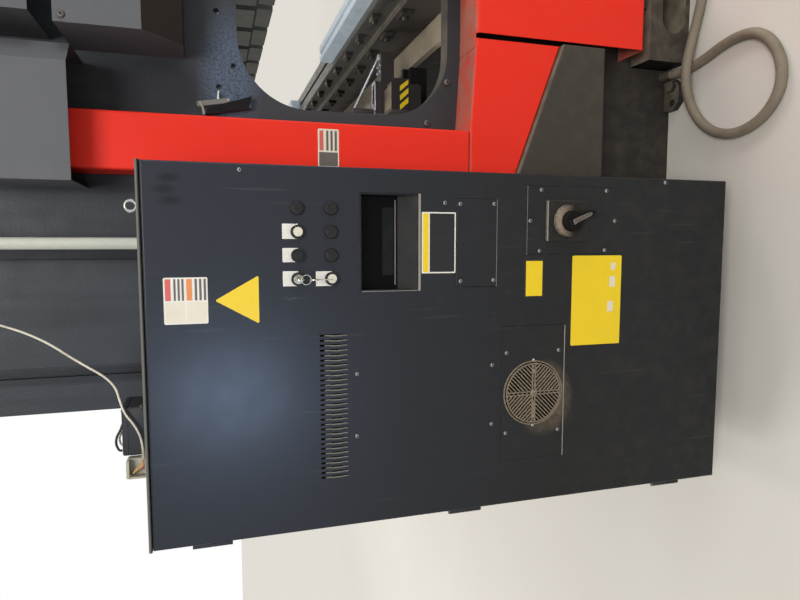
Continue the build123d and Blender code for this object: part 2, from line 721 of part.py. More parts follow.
def ram_covers():
    """On each side, the box behind the ram's end and the open-topped cover round the cylinder."""
    def ram_box(grow, y0, y1):
        top, low, face = RAM_COVER_TOP - grow, RAM_COVER_BOTTOM + grow, -HEAD_FACE + grow
        slope = RAM_COVER_CHAMFER - grow * (2 - 2 ** 0.5)
        outline = [
            (-FRAME_OUT, top), (face, top), (face, low + slope), (face + slope, low), (-FRAME_OUT, low),
        ]
        return prism_y(outline, y0, y1)

    low_box = ram_box(0, RAM_COVER_FRONT, RAM_COVER_REAR)
    low_box -= ram_box(SHEET, RAM_COVER_FRONT + SHEET, RAM_COVER_REAR - SHEET)
    corners = [
        (-FRAME_OUT, CYL_COVER_REAR), (-HEAD_FACE, CYL_COVER_REAR), (-HEAD_FACE, CYL_COVER_FRONT),
        (-CYL_COVER_INNER, CYL_COVER_FRONT), (-CYL_COVER_INNER, CYL_COVER_RETURN),
    ]
    inside = [
        (-CYL_COVER_INNER - SHEET, CYL_COVER_RETURN), (-CYL_COVER_INNER - SHEET, CYL_COVER_FRONT + SHEET),
        (-HEAD_FACE + SHEET, CYL_COVER_FRONT + SHEET), (-HEAD_FACE + SHEET, CYL_COVER_REAR - SHEET),
        (-FRAME_OUT, CYL_COVER_REAR - SHEET),
    ]
    wrap = prism_z(corners + inside, CYL_COVER_BOTTOM, CYL_COVER_TOP)
    wrap = fillet(wrap.edges().filter_by(Axis.Z).group_by(Axis.Y)[0], BEND)
    return pair(group(low_box, wrap))


# Cylinders, ram and tools

def cylinders():
    """The two hydraulic cylinders, with their mounting plates on the front of the frames."""
    x = -CYLINDER_X
    bore_top = CYLINDER_TOP - CYLINDER_CAP
    barrel = rod((x, 0, CYLINDER_BOTTOM), (x, 0, CYLINDER_TOP), CYLINDER_RADIUS)
    barrel += rod((x, 0, CYLINDER_BOTTOM), (x, 0, CYLINDER_BOTTOM + GLAND_HEIGHT), GLAND_RADIUS)
    mount_ys = (HEAD_FRONT - MOUNT_DEPTH, HEAD_FRONT)
    barrel += block(around(x, 2 * MOUNT_HALF), mount_ys, (MOUNT_BOTTOM, CYLINDER_TOP))
    barrel -= rod((x, 0, CYLINDER_BOTTOM + GLAND_HEIGHT), (x, 0, bore_top), CYLINDER_BORE)
    barrel -= rod((x, 0, CYLINDER_BOTTOM), (x, 0, CYLINDER_BOTTOM + GLAND_HEIGHT), ROD_RADIUS + RUNNING)
    return pair(barrel)


def piston_rods():
    """Each cylinder's rod, with its piston and the flange that sits on the ram."""
    x = -CYLINDER_X
    shaft = rod((x, 0, RAM_END_TOP), (x, 0, PISTON_Z), ROD_RADIUS)
    shaft += rod((x, 0, RAM_END_TOP), (x, 0, RAM_END_TOP + ROD_FLANGE), ROD_FLANGE_RADIUS) & block(
        around(x, 2 * ROD_FLANGE_RADIUS), around(0, RAM_THICK), (RAM_END_TOP, RAM_END_TOP + ROD_FLANGE)
    )
    shaft += rod((x, 0, PISTON_Z), (x, 0, PISTON_Z + PISTON_HEIGHT), CYLINDER_BORE - RUNNING)
    return pair(shaft)


def ram_beam():
    """The upper beam, stepped down at its ends to take the cylinder rods."""
    outline = [
        (-RAM_HALF, RAM_BOTTOM), (RAM_HALF, RAM_BOTTOM), (RAM_HALF, RAM_END_TOP), (RAM_MID_HALF, RAM_END_TOP),
        (RAM_MID_HALF, RAM_SHOULDER), (RAM_TOP_HALF, RAM_TOP), (-RAM_TOP_HALF, RAM_TOP),
        (-RAM_MID_HALF, RAM_SHOULDER), (-RAM_MID_HALF, RAM_END_TOP), (-RAM_HALF, RAM_END_TOP),
    ]
    return prism_y(outline, -RAM_THICK / 2, RAM_THICK / 2)


def ram_guides():
    """The guide pads behind the ram, and on each frame the slanting position switch on its plate."""
    pad = block((-FRAME_OUT, -FRAME_IN), (RAM_THICK / 2 + SEAT, JAW_FRONT), (GUIDE_BOTTOM, GUIDE_TOP))
    pad = chamfer(pad.edges().filter_by(Axis.X), GUIDE_EDGE)
    top, foot = (width / 2 for width in SWITCH_WIDTHS)
    half = SWITCH_HEIGHT / 2
    switch = prism_x([(-foot, -half), (foot, -half), (top, half), (-top, half)], -SWITCH_DEPTH, 0)
    width, height, thick = SWITCH_PLATE
    switch += block((-thick, 0), around(-SWITCH_PLATE_SIDE, width), around(0, height))
    switch = Pos(-FRAME_OUT, *SWITCH_PLACE) * Rot(SWITCH_TILT, 0, 0) * switch
    return pair(group(pad, switch))


def tool_holders():
    """The row of punch holders under the ram, each with a slot for the punch's tang."""
    half, jaw, slot = HOLDER_WIDTH / 2, JAW_WIDTH / 2, TANG_WIDTH / 2
    neck = HOLDER_BOTTOM + HOLDER_HEIGHT * 0.4
    outline = [
        (-half, RAM_BOTTOM), (half, RAM_BOTTOM), (half, neck + half - jaw), (jaw, neck), (jaw, HOLDER_BOTTOM),
        (slot, HOLDER_BOTTOM), (slot, HOLDER_BOTTOM + TANG_HEIGHT), (-slot, HOLDER_BOTTOM + TANG_HEIGHT),
        (-slot, HOLDER_BOTTOM), (-jaw, HOLDER_BOTTOM), (-jaw, neck), (-half, neck + half - jaw),
    ]
    first = -(HOLDER_COUNT - 1) * HOLDER_PITCH / 2 - HOLDER_LENGTH / 2
    starts = [first + index * HOLDER_PITCH for index in range(HOLDER_COUNT)]
    return group(*[prism_x(outline, x, x + HOLDER_LENGTH) for x in starts])


def punch():
    """A straight punch of one standard length, hung by its tang."""
    tang, half = TANG_WIDTH / 2 - TENON_GAP, PUNCH_WIDTH / 2
    knee = HOLDER_BOTTOM - PUNCH_HEIGHT * 0.3
    edge = TENON_GAP * 5
    right = [
        (tang, HOLDER_BOTTOM + TANG_HEIGHT - edge), (tang, HOLDER_BOTTOM), (half, HOLDER_BOTTOM),
        (half, knee), (3 * edge, PUNCH_TIP + 4 * edge), (edge, PUNCH_TIP),
    ]
    left = [(-y, z) for y, z in reversed(right)]
    return prism_x(right + left, PUNCH_START, PUNCH_START + DIE_LENGTH)


def die_rail():
    """The die rail on top of the table, with its tenon groove."""
    rail = block((-RAIL_HALF, RAIL_HALF), around(0, RAIL_WIDTH), (TABLE_TOP, RAIL_TOP))
    rail = chamfer(rail.faces().sort_by(Axis.Z)[-1].edges().filter_by(Axis.X), TABLE_EDGE / 2)
    return rail - block(
        (-RAIL_HALF, RAIL_HALF), around(0, RAIL_GROOVE), (RAIL_TOP - RAIL_GROOVE_DEPTH, RAIL_TOP)
    )


def v_dies():
    """Two V dies of one standard length, each on the rail's groove."""
    half, tenon = DIE_WIDTH / 2, RAIL_GROOVE / 2 - TENON_GAP
    foot = RAIL_TOP - RAIL_GROOVE_DEPTH + 10 * TENON_GAP
    outline = [
        (-tenon, foot), (tenon, foot), (tenon, RAIL_TOP), (half, RAIL_TOP), (half, DIE_TOP), (DIE_V, DIE_TOP),
        (0, DIE_TOP - DIE_V), (-DIE_V, DIE_TOP), (-half, DIE_TOP), (-half, RAIL_TOP), (-tenon, RAIL_TOP),
    ]
    return group(*[prism_x(outline, x, x + DIE_LENGTH) for x in DIE_STARTS])


def die_clamps():
    """Rail clamps and, between them and lower down, the wedge blocks, each with its bolt."""
    pieces = []
    count = int(2 * RAIL_HALF // CLAMP_PITCH)
    rail_face = RAIL_WIDTH / 2
    for index in range(count):
        x = (index - (count - 1) / 2) * CLAMP_PITCH
        clamp = block(
            around(x, CLAMP_LENGTH), (rail_face, rail_face + CLAMP_DEPTH), around(CLAMP_Z, CLAMP_HEIGHT)
        )
        head_y = rail_face + CLAMP_DEPTH
        clamp += hex_head((x, head_y, CLAMP_Z), (x, head_y + BOLT_HEAD, CLAMP_Z), BOLT_FLATS)
        x += CLAMP_PITCH / 2
        if abs(x) + WEDGE_LENGTH < TABLE_HALF:
            wedge_face = JAW_FRONT + WEDGE_DEPTH
            wedge = block(around(x, WEDGE_LENGTH), (JAW_FRONT, wedge_face), around(WEDGE_Z, WEDGE_HEIGHT))
            wedge += hex_head((x, wedge_face, WEDGE_Z), (x, wedge_face + BOLT_HEAD, WEDGE_Z), BOLT_FLATS)
            pieces.append(wedge)
        pieces.append(clamp)
    return group(*pieces)


# Hydraulic unit

def hydraulic_tank():
    """The oil tank on the upper cross beams, with its rimmed lid."""
    tank = block((-TANK_HALF, TANK_HALF), (TANK_FRONT, TANK_REAR), (TIE_TOP, TIE_TOP + TANK_HEIGHT))
    tank = fillet(tank.edges().filter_by(Axis.Z), TANK_EDGE)
    top = TIE_TOP + TANK_HEIGHT
    lid = block(
        (-TANK_HALF - LID_RIM, TANK_HALF + LID_RIM), (TANK_FRONT - LID_RIM, TANK_REAR + LID_RIM),
        (top, top + LID_HEIGHT),
    )
    lid = fillet(lid.edges().filter_by(Axis.Z), TANK_EDGE)
    filler_x = -TANK_HALF / 2
    filler = rod((filler_x, MOTOR_Y, top), (filler_x, MOTOR_Y, top + 4 * LID_HEIGHT), 3 * LID_HEIGHT)
    return tank + lid + filler


def pump_motor():
    """The pump's bell housing on the tank's end and the finned motor beyond it."""
    z = TIE_TOP + TANK_HEIGHT / 2
    x_bell = TANK_HALF + BELL_LENGTH
    x_end = x_bell + MOTOR_LENGTH
    unit = rod((TANK_HALF, MOTOR_Y, z), (x_bell, MOTOR_Y, z), BELL_RADIUS)
    unit += rod((x_bell, MOTOR_Y, z), (x_end, MOTOR_Y, z), MOTOR_RADIUS)
    fin_xs = (x_bell + MOTOR_FIN, x_end - 6 * MOTOR_FIN)
    fin = block(fin_xs, around(0, MOTOR_FIN), (0, MOTOR_RADIUS + MOTOR_FIN))
    for index in range(MOTOR_FINS):
        unit += Pos(0, MOTOR_Y, z) * Rot(360 / MOTOR_FINS * (index + 0.5), 0, 0) * fin
    foot_x = (x_bell + 4 * MOTOR_FIN, x_end - 8 * MOTOR_FIN)
    unit += block(foot_x, around(MOTOR_Y, 2 * MOTOR_RADIUS), (TIE_TOP, TIE_TOP + 2 * MOTOR_FIN))
    unit += block(foot_x, around(MOTOR_Y, MOTOR_RADIUS), (TIE_TOP, z))
    return unit


def hydraulic_pipes():
    """The valve block on the tank and the pipe from it to each cylinder's cap."""
    width, depth, height = VALVE_BLOCK
    valves = block(around(0, width), (TANK_FRONT - depth, TANK_FRONT), around(VALVE_Z, height))
    y = TANK_FRONT - depth / 2
    route = [(-width / 2, y, PIPE_Z), (-PIPE_X, y, PIPE_Z), (-PIPE_X, 0, PIPE_Z), (-PIPE_X, 0, CYLINDER_TOP)]
    bend = min(PIPE_BEND, 0.9 * (PIPE_Z - CYLINDER_TOP))
    pipe = tube(route, PIPE_RADIUS, [PIPE_BEND, bend])
    return group(valves, pipe, mirror(pipe, about=Plane.YZ))


# Back gauge

def gauge_stand():
    """Two guide beams with posts, bearing blocks and servo motors."""
    ys = (LEDGE_REAR, GAUGE_RAIL_END)
    beam = block(around(-GUIDE_X, GAUGE_BEAM_WIDTH), ys, (LEDGE_TOP - GAUGE_BEAM_DEPTH, LEDGE_TOP))
    beam += block(around(-GUIDE_X, GUIDE_WIDTH), ys, (LEDGE_TOP, LEDGE_TOP + GUIDE_HEIGHT))
    beam += block(
        around(-GUIDE_X, GAUGE_BEAM_WIDTH), around(POST_Y, GAUGE_BEAM_WIDTH),
        (LOW_TIE_BOTTOM + LOW_TIE_WIDTH, LEDGE_TOP - GAUGE_BEAM_DEPTH),
    )
    inner = -GUIDE_X + GAUGE_BEAM_WIDTH / 2
    bearing_xs = (inner, -SCREW_X + BEARING_HEIGHT / 2)
    for y in (LEDGE_REAR, GAUGE_RAIL_END - BEARING_DEPTH):
        beam += block(bearing_xs, (y, y + BEARING_DEPTH), around(SCREW_Z, BEARING_HEIGHT))
    beam -= rod((-SCREW_X, 0, SCREW_Z), (-SCREW_X, GAUGE_RAIL_END, SCREW_Z), JOURNAL_RADIUS + RUNNING)
    servo_ys = (GAUGE_RAIL_END, GAUGE_RAIL_END + SERVO_LENGTH)
    servo = block(around(-SCREW_X, SERVO_SIZE), servo_ys, around(SCREW_Z, SERVO_SIZE))
    servo = chamfer(servo.edges().filter_by(Axis.Y), SERVO_SIZE / 8)
    return pair(group(beam, servo))


def gauge_carriages():
    """The carriages on the guides, each with its lift tower and ball nut."""
    mid = CROSS_FRONT + CROSS_DEPTH / 2
    ys = around(mid, CARRIAGE_LENGTH)
    carriage = block(around(-GUIDE_X, CARRIAGE_WIDTH), ys, (LEDGE_TOP + SEAT, CARRIAGE_TOP))
    carriage -= block(
        around(-GUIDE_X, GUIDE_WIDTH + 2 * SEAT), ys, (LEDGE_TOP, LEDGE_TOP + GUIDE_HEIGHT + SEAT)
    )
    tower_front = CROSS_FRONT + CROSS_DEPTH + SEAT
    tower_ys = (tower_front, tower_front + TOWER_DEPTH)
    carriage += block(around(-GUIDE_X, TOWER_WIDTH), tower_ys, (CARRIAGE_TOP, TOWER_TOP))
    carriage += block(
        around(-GUIDE_X, TOWER_WIDTH), (ys[1], tower_ys[1]), (LEDGE_TOP + GUIDE_HEIGHT + SEAT, CARRIAGE_TOP)
    )
    carriage += block(
        (-GUIDE_X, -SCREW_X + NUT_RADIUS), around(mid, NUT_LENGTH), (LEDGE_TOP + GUIDE_HEIGHT, CARRIAGE_TOP)
    )
    nut_ys = around(mid, NUT_LENGTH)
    beam_xs = (-GUIDE_X, -GUIDE_X + GAUGE_BEAM_WIDTH / 2 + 3 * SEAT)
    nut_xs = (-SCREW_X - NUT_RADIUS / 2, -SCREW_X + NUT_RADIUS)
    carriage += block(nut_xs, nut_ys, (SCREW_Z, CARRIAGE_TOP)) - block(beam_xs, nut_ys, (0, LEDGE_TOP + SEAT))
    nut = rod((-SCREW_X, nut_ys[0], SCREW_Z), (-SCREW_X, nut_ys[1], SCREW_Z), NUT_RADIUS)
    carriage += nut - block(beam_xs, nut_ys, around(SCREW_Z, 3 * NUT_RADIUS))
    hole = rod((-SCREW_X, ys[0], SCREW_Z), (-SCREW_X, ys[1], SCREW_Z), SCREW_RADIUS + RUNNING)
    return pair(carriage - hole)


def gauge_screw(side):
    """One of the two ball screws, with its turned-down ends."""
    x = side * SCREW_X
    start, end = LEDGE_REAR, GAUGE_RAIL_END
    screw = rod((x, start, SCREW_Z), (x, end - SEAT, SCREW_Z), JOURNAL_RADIUS)
    threaded = (start + BEARING_DEPTH + SEAT, end - BEARING_DEPTH - SEAT)
    return screw + rod((x, threaded[0], SCREW_Z), (x, threaded[1], SCREW_Z), SCREW_RADIUS)


def gauge_beam():
    """The crossbeam of the gauge, with the rail on its front that the fingers slide on."""
    low = CARRIAGE_TOP + SEAT
    top = low + CROSS_HEIGHT
    beam = block((-CROSS_HALF, CROSS_HALF), (CROSS_FRONT, CROSS_FRONT + CROSS_DEPTH), (low, top))
    beam = chamfer(beam.edges().filter_by(Axis.X), BEND)
    rail = block(
        (-CROSS_HALF + BEND, CROSS_HALF - BEND), (CROSS_FRONT - CROSS_RAIL_PROUD, CROSS_FRONT),
        around(top - CROSS_RAIL_DROP, CROSS_RAIL_WIDTH),
    )
    return beam + rail


def finger(side):
    """One stop finger: a head on the crossbeam's rail, a saddle with a slotted bar, and a sloping arm."""
    x = side * FINGER_X
    top = CARRIAGE_TOP + SEAT + CROSS_HEIGHT
    rear = CROSS_FRONT + CROSS_DEPTH - BEND / 2
    xs = around(x, FINGER_WIDTH)
    head_top, saddle_top = top + FINGER_HEAD_RISE, top + FINGER_SADDLE_RISE
    head_ys = (FINGER_TIP_Y, CROSS_FRONT - SEAT)
    head = block(xs, head_ys, (top - FINGER_HEAD_DROP, head_top))
    head = chamfer(head.faces().sort_by(Axis.Y)[0].edges().filter_by(Axis.X), BEND / 2)
    head -= block(
        xs, (CROSS_FRONT - CROSS_RAIL_PROUD - SEAT, CROSS_FRONT),
        around(top - CROSS_RAIL_DROP, CROSS_RAIL_WIDTH + 2 * SEAT),
    )
    piece = head + block(xs, (FINGER_BAR_FRONT, rear), (top + SEAT, saddle_top))
    bar = block(xs, (FINGER_BAR_FRONT, rear), (saddle_top, saddle_top + FINGER_BAR))
    bar = fillet(bar.edges().filter_by(Axis.Z).group_by(Axis.Y)[0], FINGER_WIDTH / 4)
    slot_ys = (FINGER_BAR_FRONT + FINGER_SLOT, rear - FINGER_POST - FINGER_SLOT)
    slot = block(around(x, FINGER_SLOT), slot_ys, (saddle_top, saddle_top + FINGER_BAR))
    piece += bar - fillet(slot.edges().filter_by(Axis.Z), FINGER_SLOT * 0.49)
    crest = top + FINGER_ARM_RISE
    foot = FINGER_TIP_Y + BEND
    slope = (crest - head_top) / (rear - FINGER_POST - foot)
    arm = [
        (foot, head_top), (rear - FINGER_POST, crest), (rear, crest), (rear, saddle_top),
        (rear - FINGER_POST, saddle_top), (rear - FINGER_POST, crest - FINGER_ARM_DEPTH),
        (foot + FINGER_ARM_DEPTH / slope, head_top),
    ]
    return piece + prism_x(arm, *around(x, FINGER_ARM_THICK))


# Electrical cabinet

def on_face(distance):
    """Y of a point at that distance from the cabinet's operator side."""
    return CABINET_FRONT + distance


def face_ys(span):
    """The Y span of a pair of distances from the cabinet's operator side."""
    return (on_face(span[0]), on_face(span[1]))


def cabinet_shell():
    """The open-fronted case, with its mouth lip and its roof's front edge over the door."""
    ys, zs = (CABINET_FRONT, CABINET_REAR), (CABINET_BOTTOM, CABINET_TOP)
    outer = block((SHELL_FRONT, CABINET_BACK), ys, zs)
    outer = fillet(outer.edges().filter_by(Axis.Z).group_by(Axis.X)[-1], BEND)
    cavity = block(
        (SHELL_FRONT + SHELL_WALL, CABINET_BACK - SHELL_WALL),
        (ys[0] + SHELL_WALL, ys[1] - SHELL_WALL), (zs[0] + SHELL_WALL, zs[1] - SHELL_WALL),
    )
    mouth = block(
        (SHELL_FRONT, SHELL_FRONT + SHELL_WALL),
        (ys[0] + MOUTH_LIP, ys[1] - MOUTH_LIP), (zs[0] + MOUTH_LIP, zs[1] - MOUTH_LIP),
    )
    roof = block((CABINET_FACE - ROOF_LIP, CABINET_BACK), ys, (CABINET_TOP, ROOF_TOP))
    roof = fillet(roof.edges().filter_by(Axis.Y).group_by(Axis.X)[0], ROOF_LIP)
    return outer - cavity - mouth + roof


def button_places():
    """(Y, Z) of every switch place, first the row above, then the row below."""
    return [(on_face(y), z) for z in BUTTON_ROWS for y in BUTTON_YS]


def cabinet_door():
    """The door pan, with vent slots, window, switch holes and three cut-outs for panels."""
    gap = DOOR_GAP
    outline = [
        (CABINET_FRONT + gap, CABINET_BOTTOM + gap), (CABINET_REAR - gap, CABINET_BOTTOM + gap),
        (CABINET_REAR - gap, CABINET_TOP - gap), (CABINET_FRONT + gap, CABINET_TOP - gap),
    ]
    x0, x1 = CABINET_FACE, CABINET_FACE + DOOR_DEPTH
    door = pan_x(outline, x0, x1, BEND - SHEET / 2)
    skin = (x0, x0 + SHEET)
    cuts = [block(skin, face_ys(ys), zs) for ys, zs in (FAN_PANEL, SWITCH_PANEL, BLANK_PANEL, WINDOW)]
    for index in range(VENT_COUNT):
        y = on_face(VENT_FIRST + index * VENT_PITCH)
        cuts.append(block(skin, around(y, VENT_SLOT[0]), around(VENT_Z, VENT_SLOT[1])))
    for y, z in button_places():
        cuts.append(rod((x0, y, z), (x0 + SHEET, y, z), COLLAR_RADIUS + SEAT))
    return door - cuts


def access_panels():
    """The three panels set into the door: fan panel, disconnect panel and blank."""
    pieces = []
    xs = (CABINET_FACE - PANEL_PROUD, CABINET_FACE + SHEET - PANEL_PROUD)
    for ys, zs in (FAN_PANEL, SWITCH_PANEL, BLANK_PANEL):
        low, high = face_ys(ys)
        pieces.append(block(xs, (low + PANEL_GAP, high - PANEL_GAP), (zs[0] + PANEL_GAP, zs[1] - PANEL_GAP)))
    fan_y, fan_z = on_face(FAN_CENTRE[0]), FAN_CENTRE[1]
    pieces[0] -= rod((xs[0], fan_y, fan_z), (xs[1], fan_y, fan_z), FAN_HOLE)
    return group(*pieces)


def window_tray():
    """The recess behind the window opening: a set-back screen plate over a sloping sill."""
    low_y, high_y = face_ys(WINDOW[0])
    ys = (low_y + PANEL_GAP, high_y - PANEL_GAP)
    low, high = WINDOW[1][0] + PANEL_GAP, WINDOW[1][1] - PANEL_GAP
    x0, deep = CABINET_FACE, CABINET_FACE + WINDOW_DEPTH
    outer = [
        (x0, high), (deep + SHEET, high), (deep + SHEET, WINDOW_SILL - 2 * SHEET),
        (x0 + SHEET, low), (x0, low),
    ]
    sill = low + 2 * SHEET
    inner = [(x0, high - SHEET), (deep, high - SHEET), (deep, WINDOW_SILL), (x0 + SHEET, sill), (x0, sill)]
    tray = prism_y(outer, *ys)
    return tray - prism_y(inner, ys[0] + SHEET, ys[1] - SHEET)


def switch_bezels():
    """Bezels with collars and contact blocks at four places, and plugs at the other four."""
    pieces = []
    x0 = CABINET_FACE
    for index, (y, z) in enumerate(button_places()):
        face = rod((x0 - BEZEL_HEIGHT, y, z), (x0, y, z), BEZEL_RADIUS)
        face += rod((x0, y, z), (x0 + COLLAR_LENGTH, y, z), COLLAR_RADIUS)
        if index in (0, 1, 2, 4):
            back = x0 + COLLAR_LENGTH
            hole = rod((x0 - BEZEL_HEIGHT, y, z), (back, y, z), BUTTON_RADIUS + RUNNING)
            contact_xs = (back, back + CONTACT_DEPTH)
            contact = block(contact_xs, around(y, CONTACT_SIZE), around(z, CONTACT_SIZE))
            face = face - hole + contact
        else:
            face = fillet(face.faces().sort_by(Axis.X)[0].edges(), BEZEL_HEIGHT / 2)
        pieces.append(face)
    return group(*pieces)


def push_button(place, proud):
    """A plunger in the bezel at that place."""
    y, z = button_places()[place]
    front = CABINET_FACE - BEZEL_HEIGHT - proud
    back = CABINET_FACE + COLLAR_LENGTH - BUTTON_TRAVEL - BUTTON_PLAY
    plunger = rod((front, y, z), (back, y, z), BUTTON_RADIUS)
    return fillet(plunger.faces().sort_by(Axis.X)[0].edges(), BUTTON_EDGE)


def key():
    """The key switch's barrel and key, with the ring and the spare key that hang from it."""
    y, z = button_places()[0]
    front = CABINET_FACE - BEZEL_HEIGHT - BARREL_PROUD
    barrel = rod((front, y, z), (CABINET_FACE + COLLAR_LENGTH - BUTTON_TRAVEL, y, z), BUTTON_RADIUS)
    stem = block((front - KEY_STEM, front), around(y, KEY_THICK), around(z, KEY_BLADE))
    bow_x = front - KEY_STEM - KEY_BOW + KEY_THICK
    hole_x = bow_x - KEY_BOW + KEY_HOLE + KEY_RIM
    bow = rod((bow_x, y - KEY_THICK / 2, z), (bow_x, y + KEY_THICK / 2, z), KEY_BOW)
    bow -= rod((hole_x, y - KEY_THICK, z), (hole_x, y + KEY_THICK, z), KEY_HOLE)
    drop = KEY_HOLE - KEY_WIRE - 2 * RUNNING
    ring_z = z - drop - KEY_RING
    ring = Pos(hole_x, y, ring_z) * Rot(0, 90, 0) * Torus(KEY_RING, KEY_WIRE)
    low_hole = ring_z - KEY_RING - drop
    low_bow = low_hole - KEY_BOW + KEY_HOLE + KEY_RIM
    spare = rod((hole_x, y - KEY_THICK / 2, low_bow), (hole_x, y + KEY_THICK / 2, low_bow), KEY_BOW)
    spare += block(around(hole_x, KEY_BLADE), around(y, KEY_THICK), (low_bow - KEY_LENGTH, low_bow))
    spare -= rod((hole_x, y - KEY_THICK, low_hole), (hole_x, y + KEY_THICK, low_hole), KEY_HOLE)
    return group(barrel + stem + bow, ring, spare)


def fan_guard():
    """The round grille: rim, cross and, in each quarter, bars along its diagonal."""
    inner = GUARD_RADIUS - GUARD_RIM
    face = Circle(GUARD_RADIUS) - Circle(inner)
    field = Circle(inner + 1)
    bars = Rectangle(GUARD_CROSS, 2 * inner) + Rectangle(2 * inner, GUARD_CROSS)
    quarter = Pos(inner / 2, inner / 2) * Rectangle(inner, inner)
    count = int(inner / GUARD_PITCH)
    for turn in (0, 90, 180, 270):
        stripes = [
            Rot(0, 0, 45) * Pos(inner / 2, step * GUARD_PITCH) * Rectangle(2 * inner, GUARD_BAR)
            for step in range(-count, count + 1)
        ]
        fan = Sketch() + stripes
        bars += Rot(0, 0, turn) * (fan & quarter)
    face += bars & field
    y, z = on_face(FAN_CENTRE[0]), FAN_CENTRE[1]
    back = CABINET_FACE - PANEL_PROUD
    plane = Plane(origin=(back, y, z), x_dir=(0, 1, 0), z_dir=(-1, 0, 0))
    return extrude(plane * face, amount=GUARD_DEPTH)


def fan_frame():
    """The square fan housing behind the panel, with its struts, motor boss and shaft."""
    x0 = CABINET_FACE + SHEET - PANEL_PROUD
    x1 = x0 + FAN_FRAME_DEPTH
    y, z = on_face(FAN_CENTRE[0]), FAN_CENTRE[1]
    frame = block((x0, x1), around(y, FAN_FRAME), around(z, FAN_FRAME))
    frame = fillet(frame.edges().filter_by(Axis.X), BEND)
    frame -= rod((x0, y, z), (x1, y, z), FAN_BORE)
    strut_xs = (x1 - FAN_STRUT_DEPTH, x1)
    boss_x = x1 - FAN_STRUT
    frame += block(strut_xs, around(y, 2 * FAN_BORE), around(z, FAN_STRUT))
    frame += block(strut_xs, around(y, FAN_STRUT), around(z, 2 * FAN_BORE))
    frame += rod((boss_x, y, z), (x1, y, z), FAN_HUB)
    return frame + rod((x1 - FAN_HUB_DEPTH, y, z), (boss_x, y, z), FAN_SHAFT)


def fan_rotor():
    """The impeller: a cupped hub on the fan's shaft with swept, pitched blades."""
    frame_back = CABINET_FACE + SHEET - PANEL_PROUD + FAN_FRAME_DEPTH
    x1 = frame_back - FAN_STRUT - SEAT
    x0 = x1 - FAN_HUB_DEPTH
    y, z = on_face(FAN_CENTRE[0]), FAN_CENTRE[1]
    hub = rod((x0, y, z), (x1, y, z), FAN_HUB)
    hub = fillet(hub.faces().sort_by(Axis.X)[0].edges(), FAN_HUB_EDGE)
    mid = (x0 + x1) / 2
    root = Plane(origin=(mid, y, z + FAN_HUB - FAN_BLADE_ROOT), x_dir=(1, 0, 0), z_dir=(0, 0, 1))
    tip = Plane(origin=(mid, y, z + FAN_BLADE_RADIUS), x_dir=(1, 0, 0), z_dir=(0, 0, 1))
    inner = root * Rot(0, 0, FAN_PITCH) * Rectangle(FAN_CHORDS[0], FAN_BLADE_THICK)
    outer = tip * Pos(0, FAN_SWEEP) * Rot(0, 0, FAN_PITCH + FAN_TWIST) * Rectangle(
        FAN_CHORDS[1], FAN_BLADE_THICK
    )
    blade = loft([inner, outer]) & rod((x0, y, z), (x1, y, z), FAN_BLADE_RADIUS)
    axis = Axis((mid, y, z), (1, 0, 0))
    for index in range(FAN_BLADES):
        hub += blade.rotate(axis, 360 / FAN_BLADES * index)
    shaft_end = frame_back - FAN_HUB_DEPTH
    return hub - rod((shaft_end - FAN_SHAFT_GAP, y, z), (x1, y, z), FAN_SHAFT + RUNNING)


def disconnect_plate():
    """The square escutcheon of the main switch, with its raised dial."""
    width, height, thick = DISCONNECT_PLATE
    y, z = on_face(DISCONNECT[0]), DISCONNECT[1]
    x0 = CABINET_FACE - PANEL_PROUD
    plate = block((x0 - thick, x0), around(y, width), around(z, height))
    plate = fillet(plate.edges().filter_by(Axis.X), BEND)
    dial = rod((x0 - thick - DIAL_HEIGHT, y, z), (x0 - thick, y, z), DIAL_RADIUS)
    dial = chamfer(dial.faces().sort_by(Axis.X)[0].edges(), 3)
    return plate + dial


def disconnect_handle():
    """The main switch's rotary lever."""
    y, z = on_face(DISCONNECT[0]), DISCONNECT[1]
    x1 = CABINET_FACE - PANEL_PROUD - DISCONNECT_PLATE[2] - DIAL_HEIGHT - SEAT
    hub = rod((x1 - HANDLE_HUB_HEIGHT, y, z), (x1, y, z), HANDLE_HUB)
    hub = fillet(hub.faces().sort_by(Axis.X)[0].edges(), HANDLE_EDGE)
    root, end = HANDLE_WIDTH / 2, HANDLE_WIDTH / 2 * HANDLE_TAPER
    top = z + HANDLE_HUB - HANDLE_EDGE
    outline = [(y - root, top), (y + root, top), (y + end, z - HANDLE_LENGTH), (y - end, z - HANDLE_LENGTH)]
    lever = prism_x(outline, x1 - HANDLE_HEIGHT, x1 - HANDLE_EDGE)
    lever = fillet(lever.edges().filter_by(Axis.X).group_by(Axis.Z)[0], HANDLE_WIDTH / 4)
    handle = hub + lever
    return handle.rotate(Axis((x1, y, z), (-1, 0, 0)), HANDLE_ANGLE)


def door_hinges():
    """The upper knuckle and leaf of each hinge, on the door's edge."""
    pieces = []
    for z in HINGE_ZS:
        knuckle = rod((HINGE_X, HINGE_Y, z + SEAT), (HINGE_X, HINGE_Y, z + HINGE_HEIGHT / 2), KNUCKLE_RADIUS)
        leaf = block(
            around(HINGE_X, 2 * KNUCKLE_RADIUS), (CABINET_REAR - DOOR_GAP, HINGE_Y),
            (z + SEAT, z + HINGE_HEIGHT / 2),
        )
        bore = rod((HINGE_X, HINGE_Y, z), (HINGE_X, HINGE_Y, z + HINGE_HEIGHT / 2), HINGE_PIN + RUNNING)
        pieces.append(knuckle + leaf - bore)
    return group(*pieces)


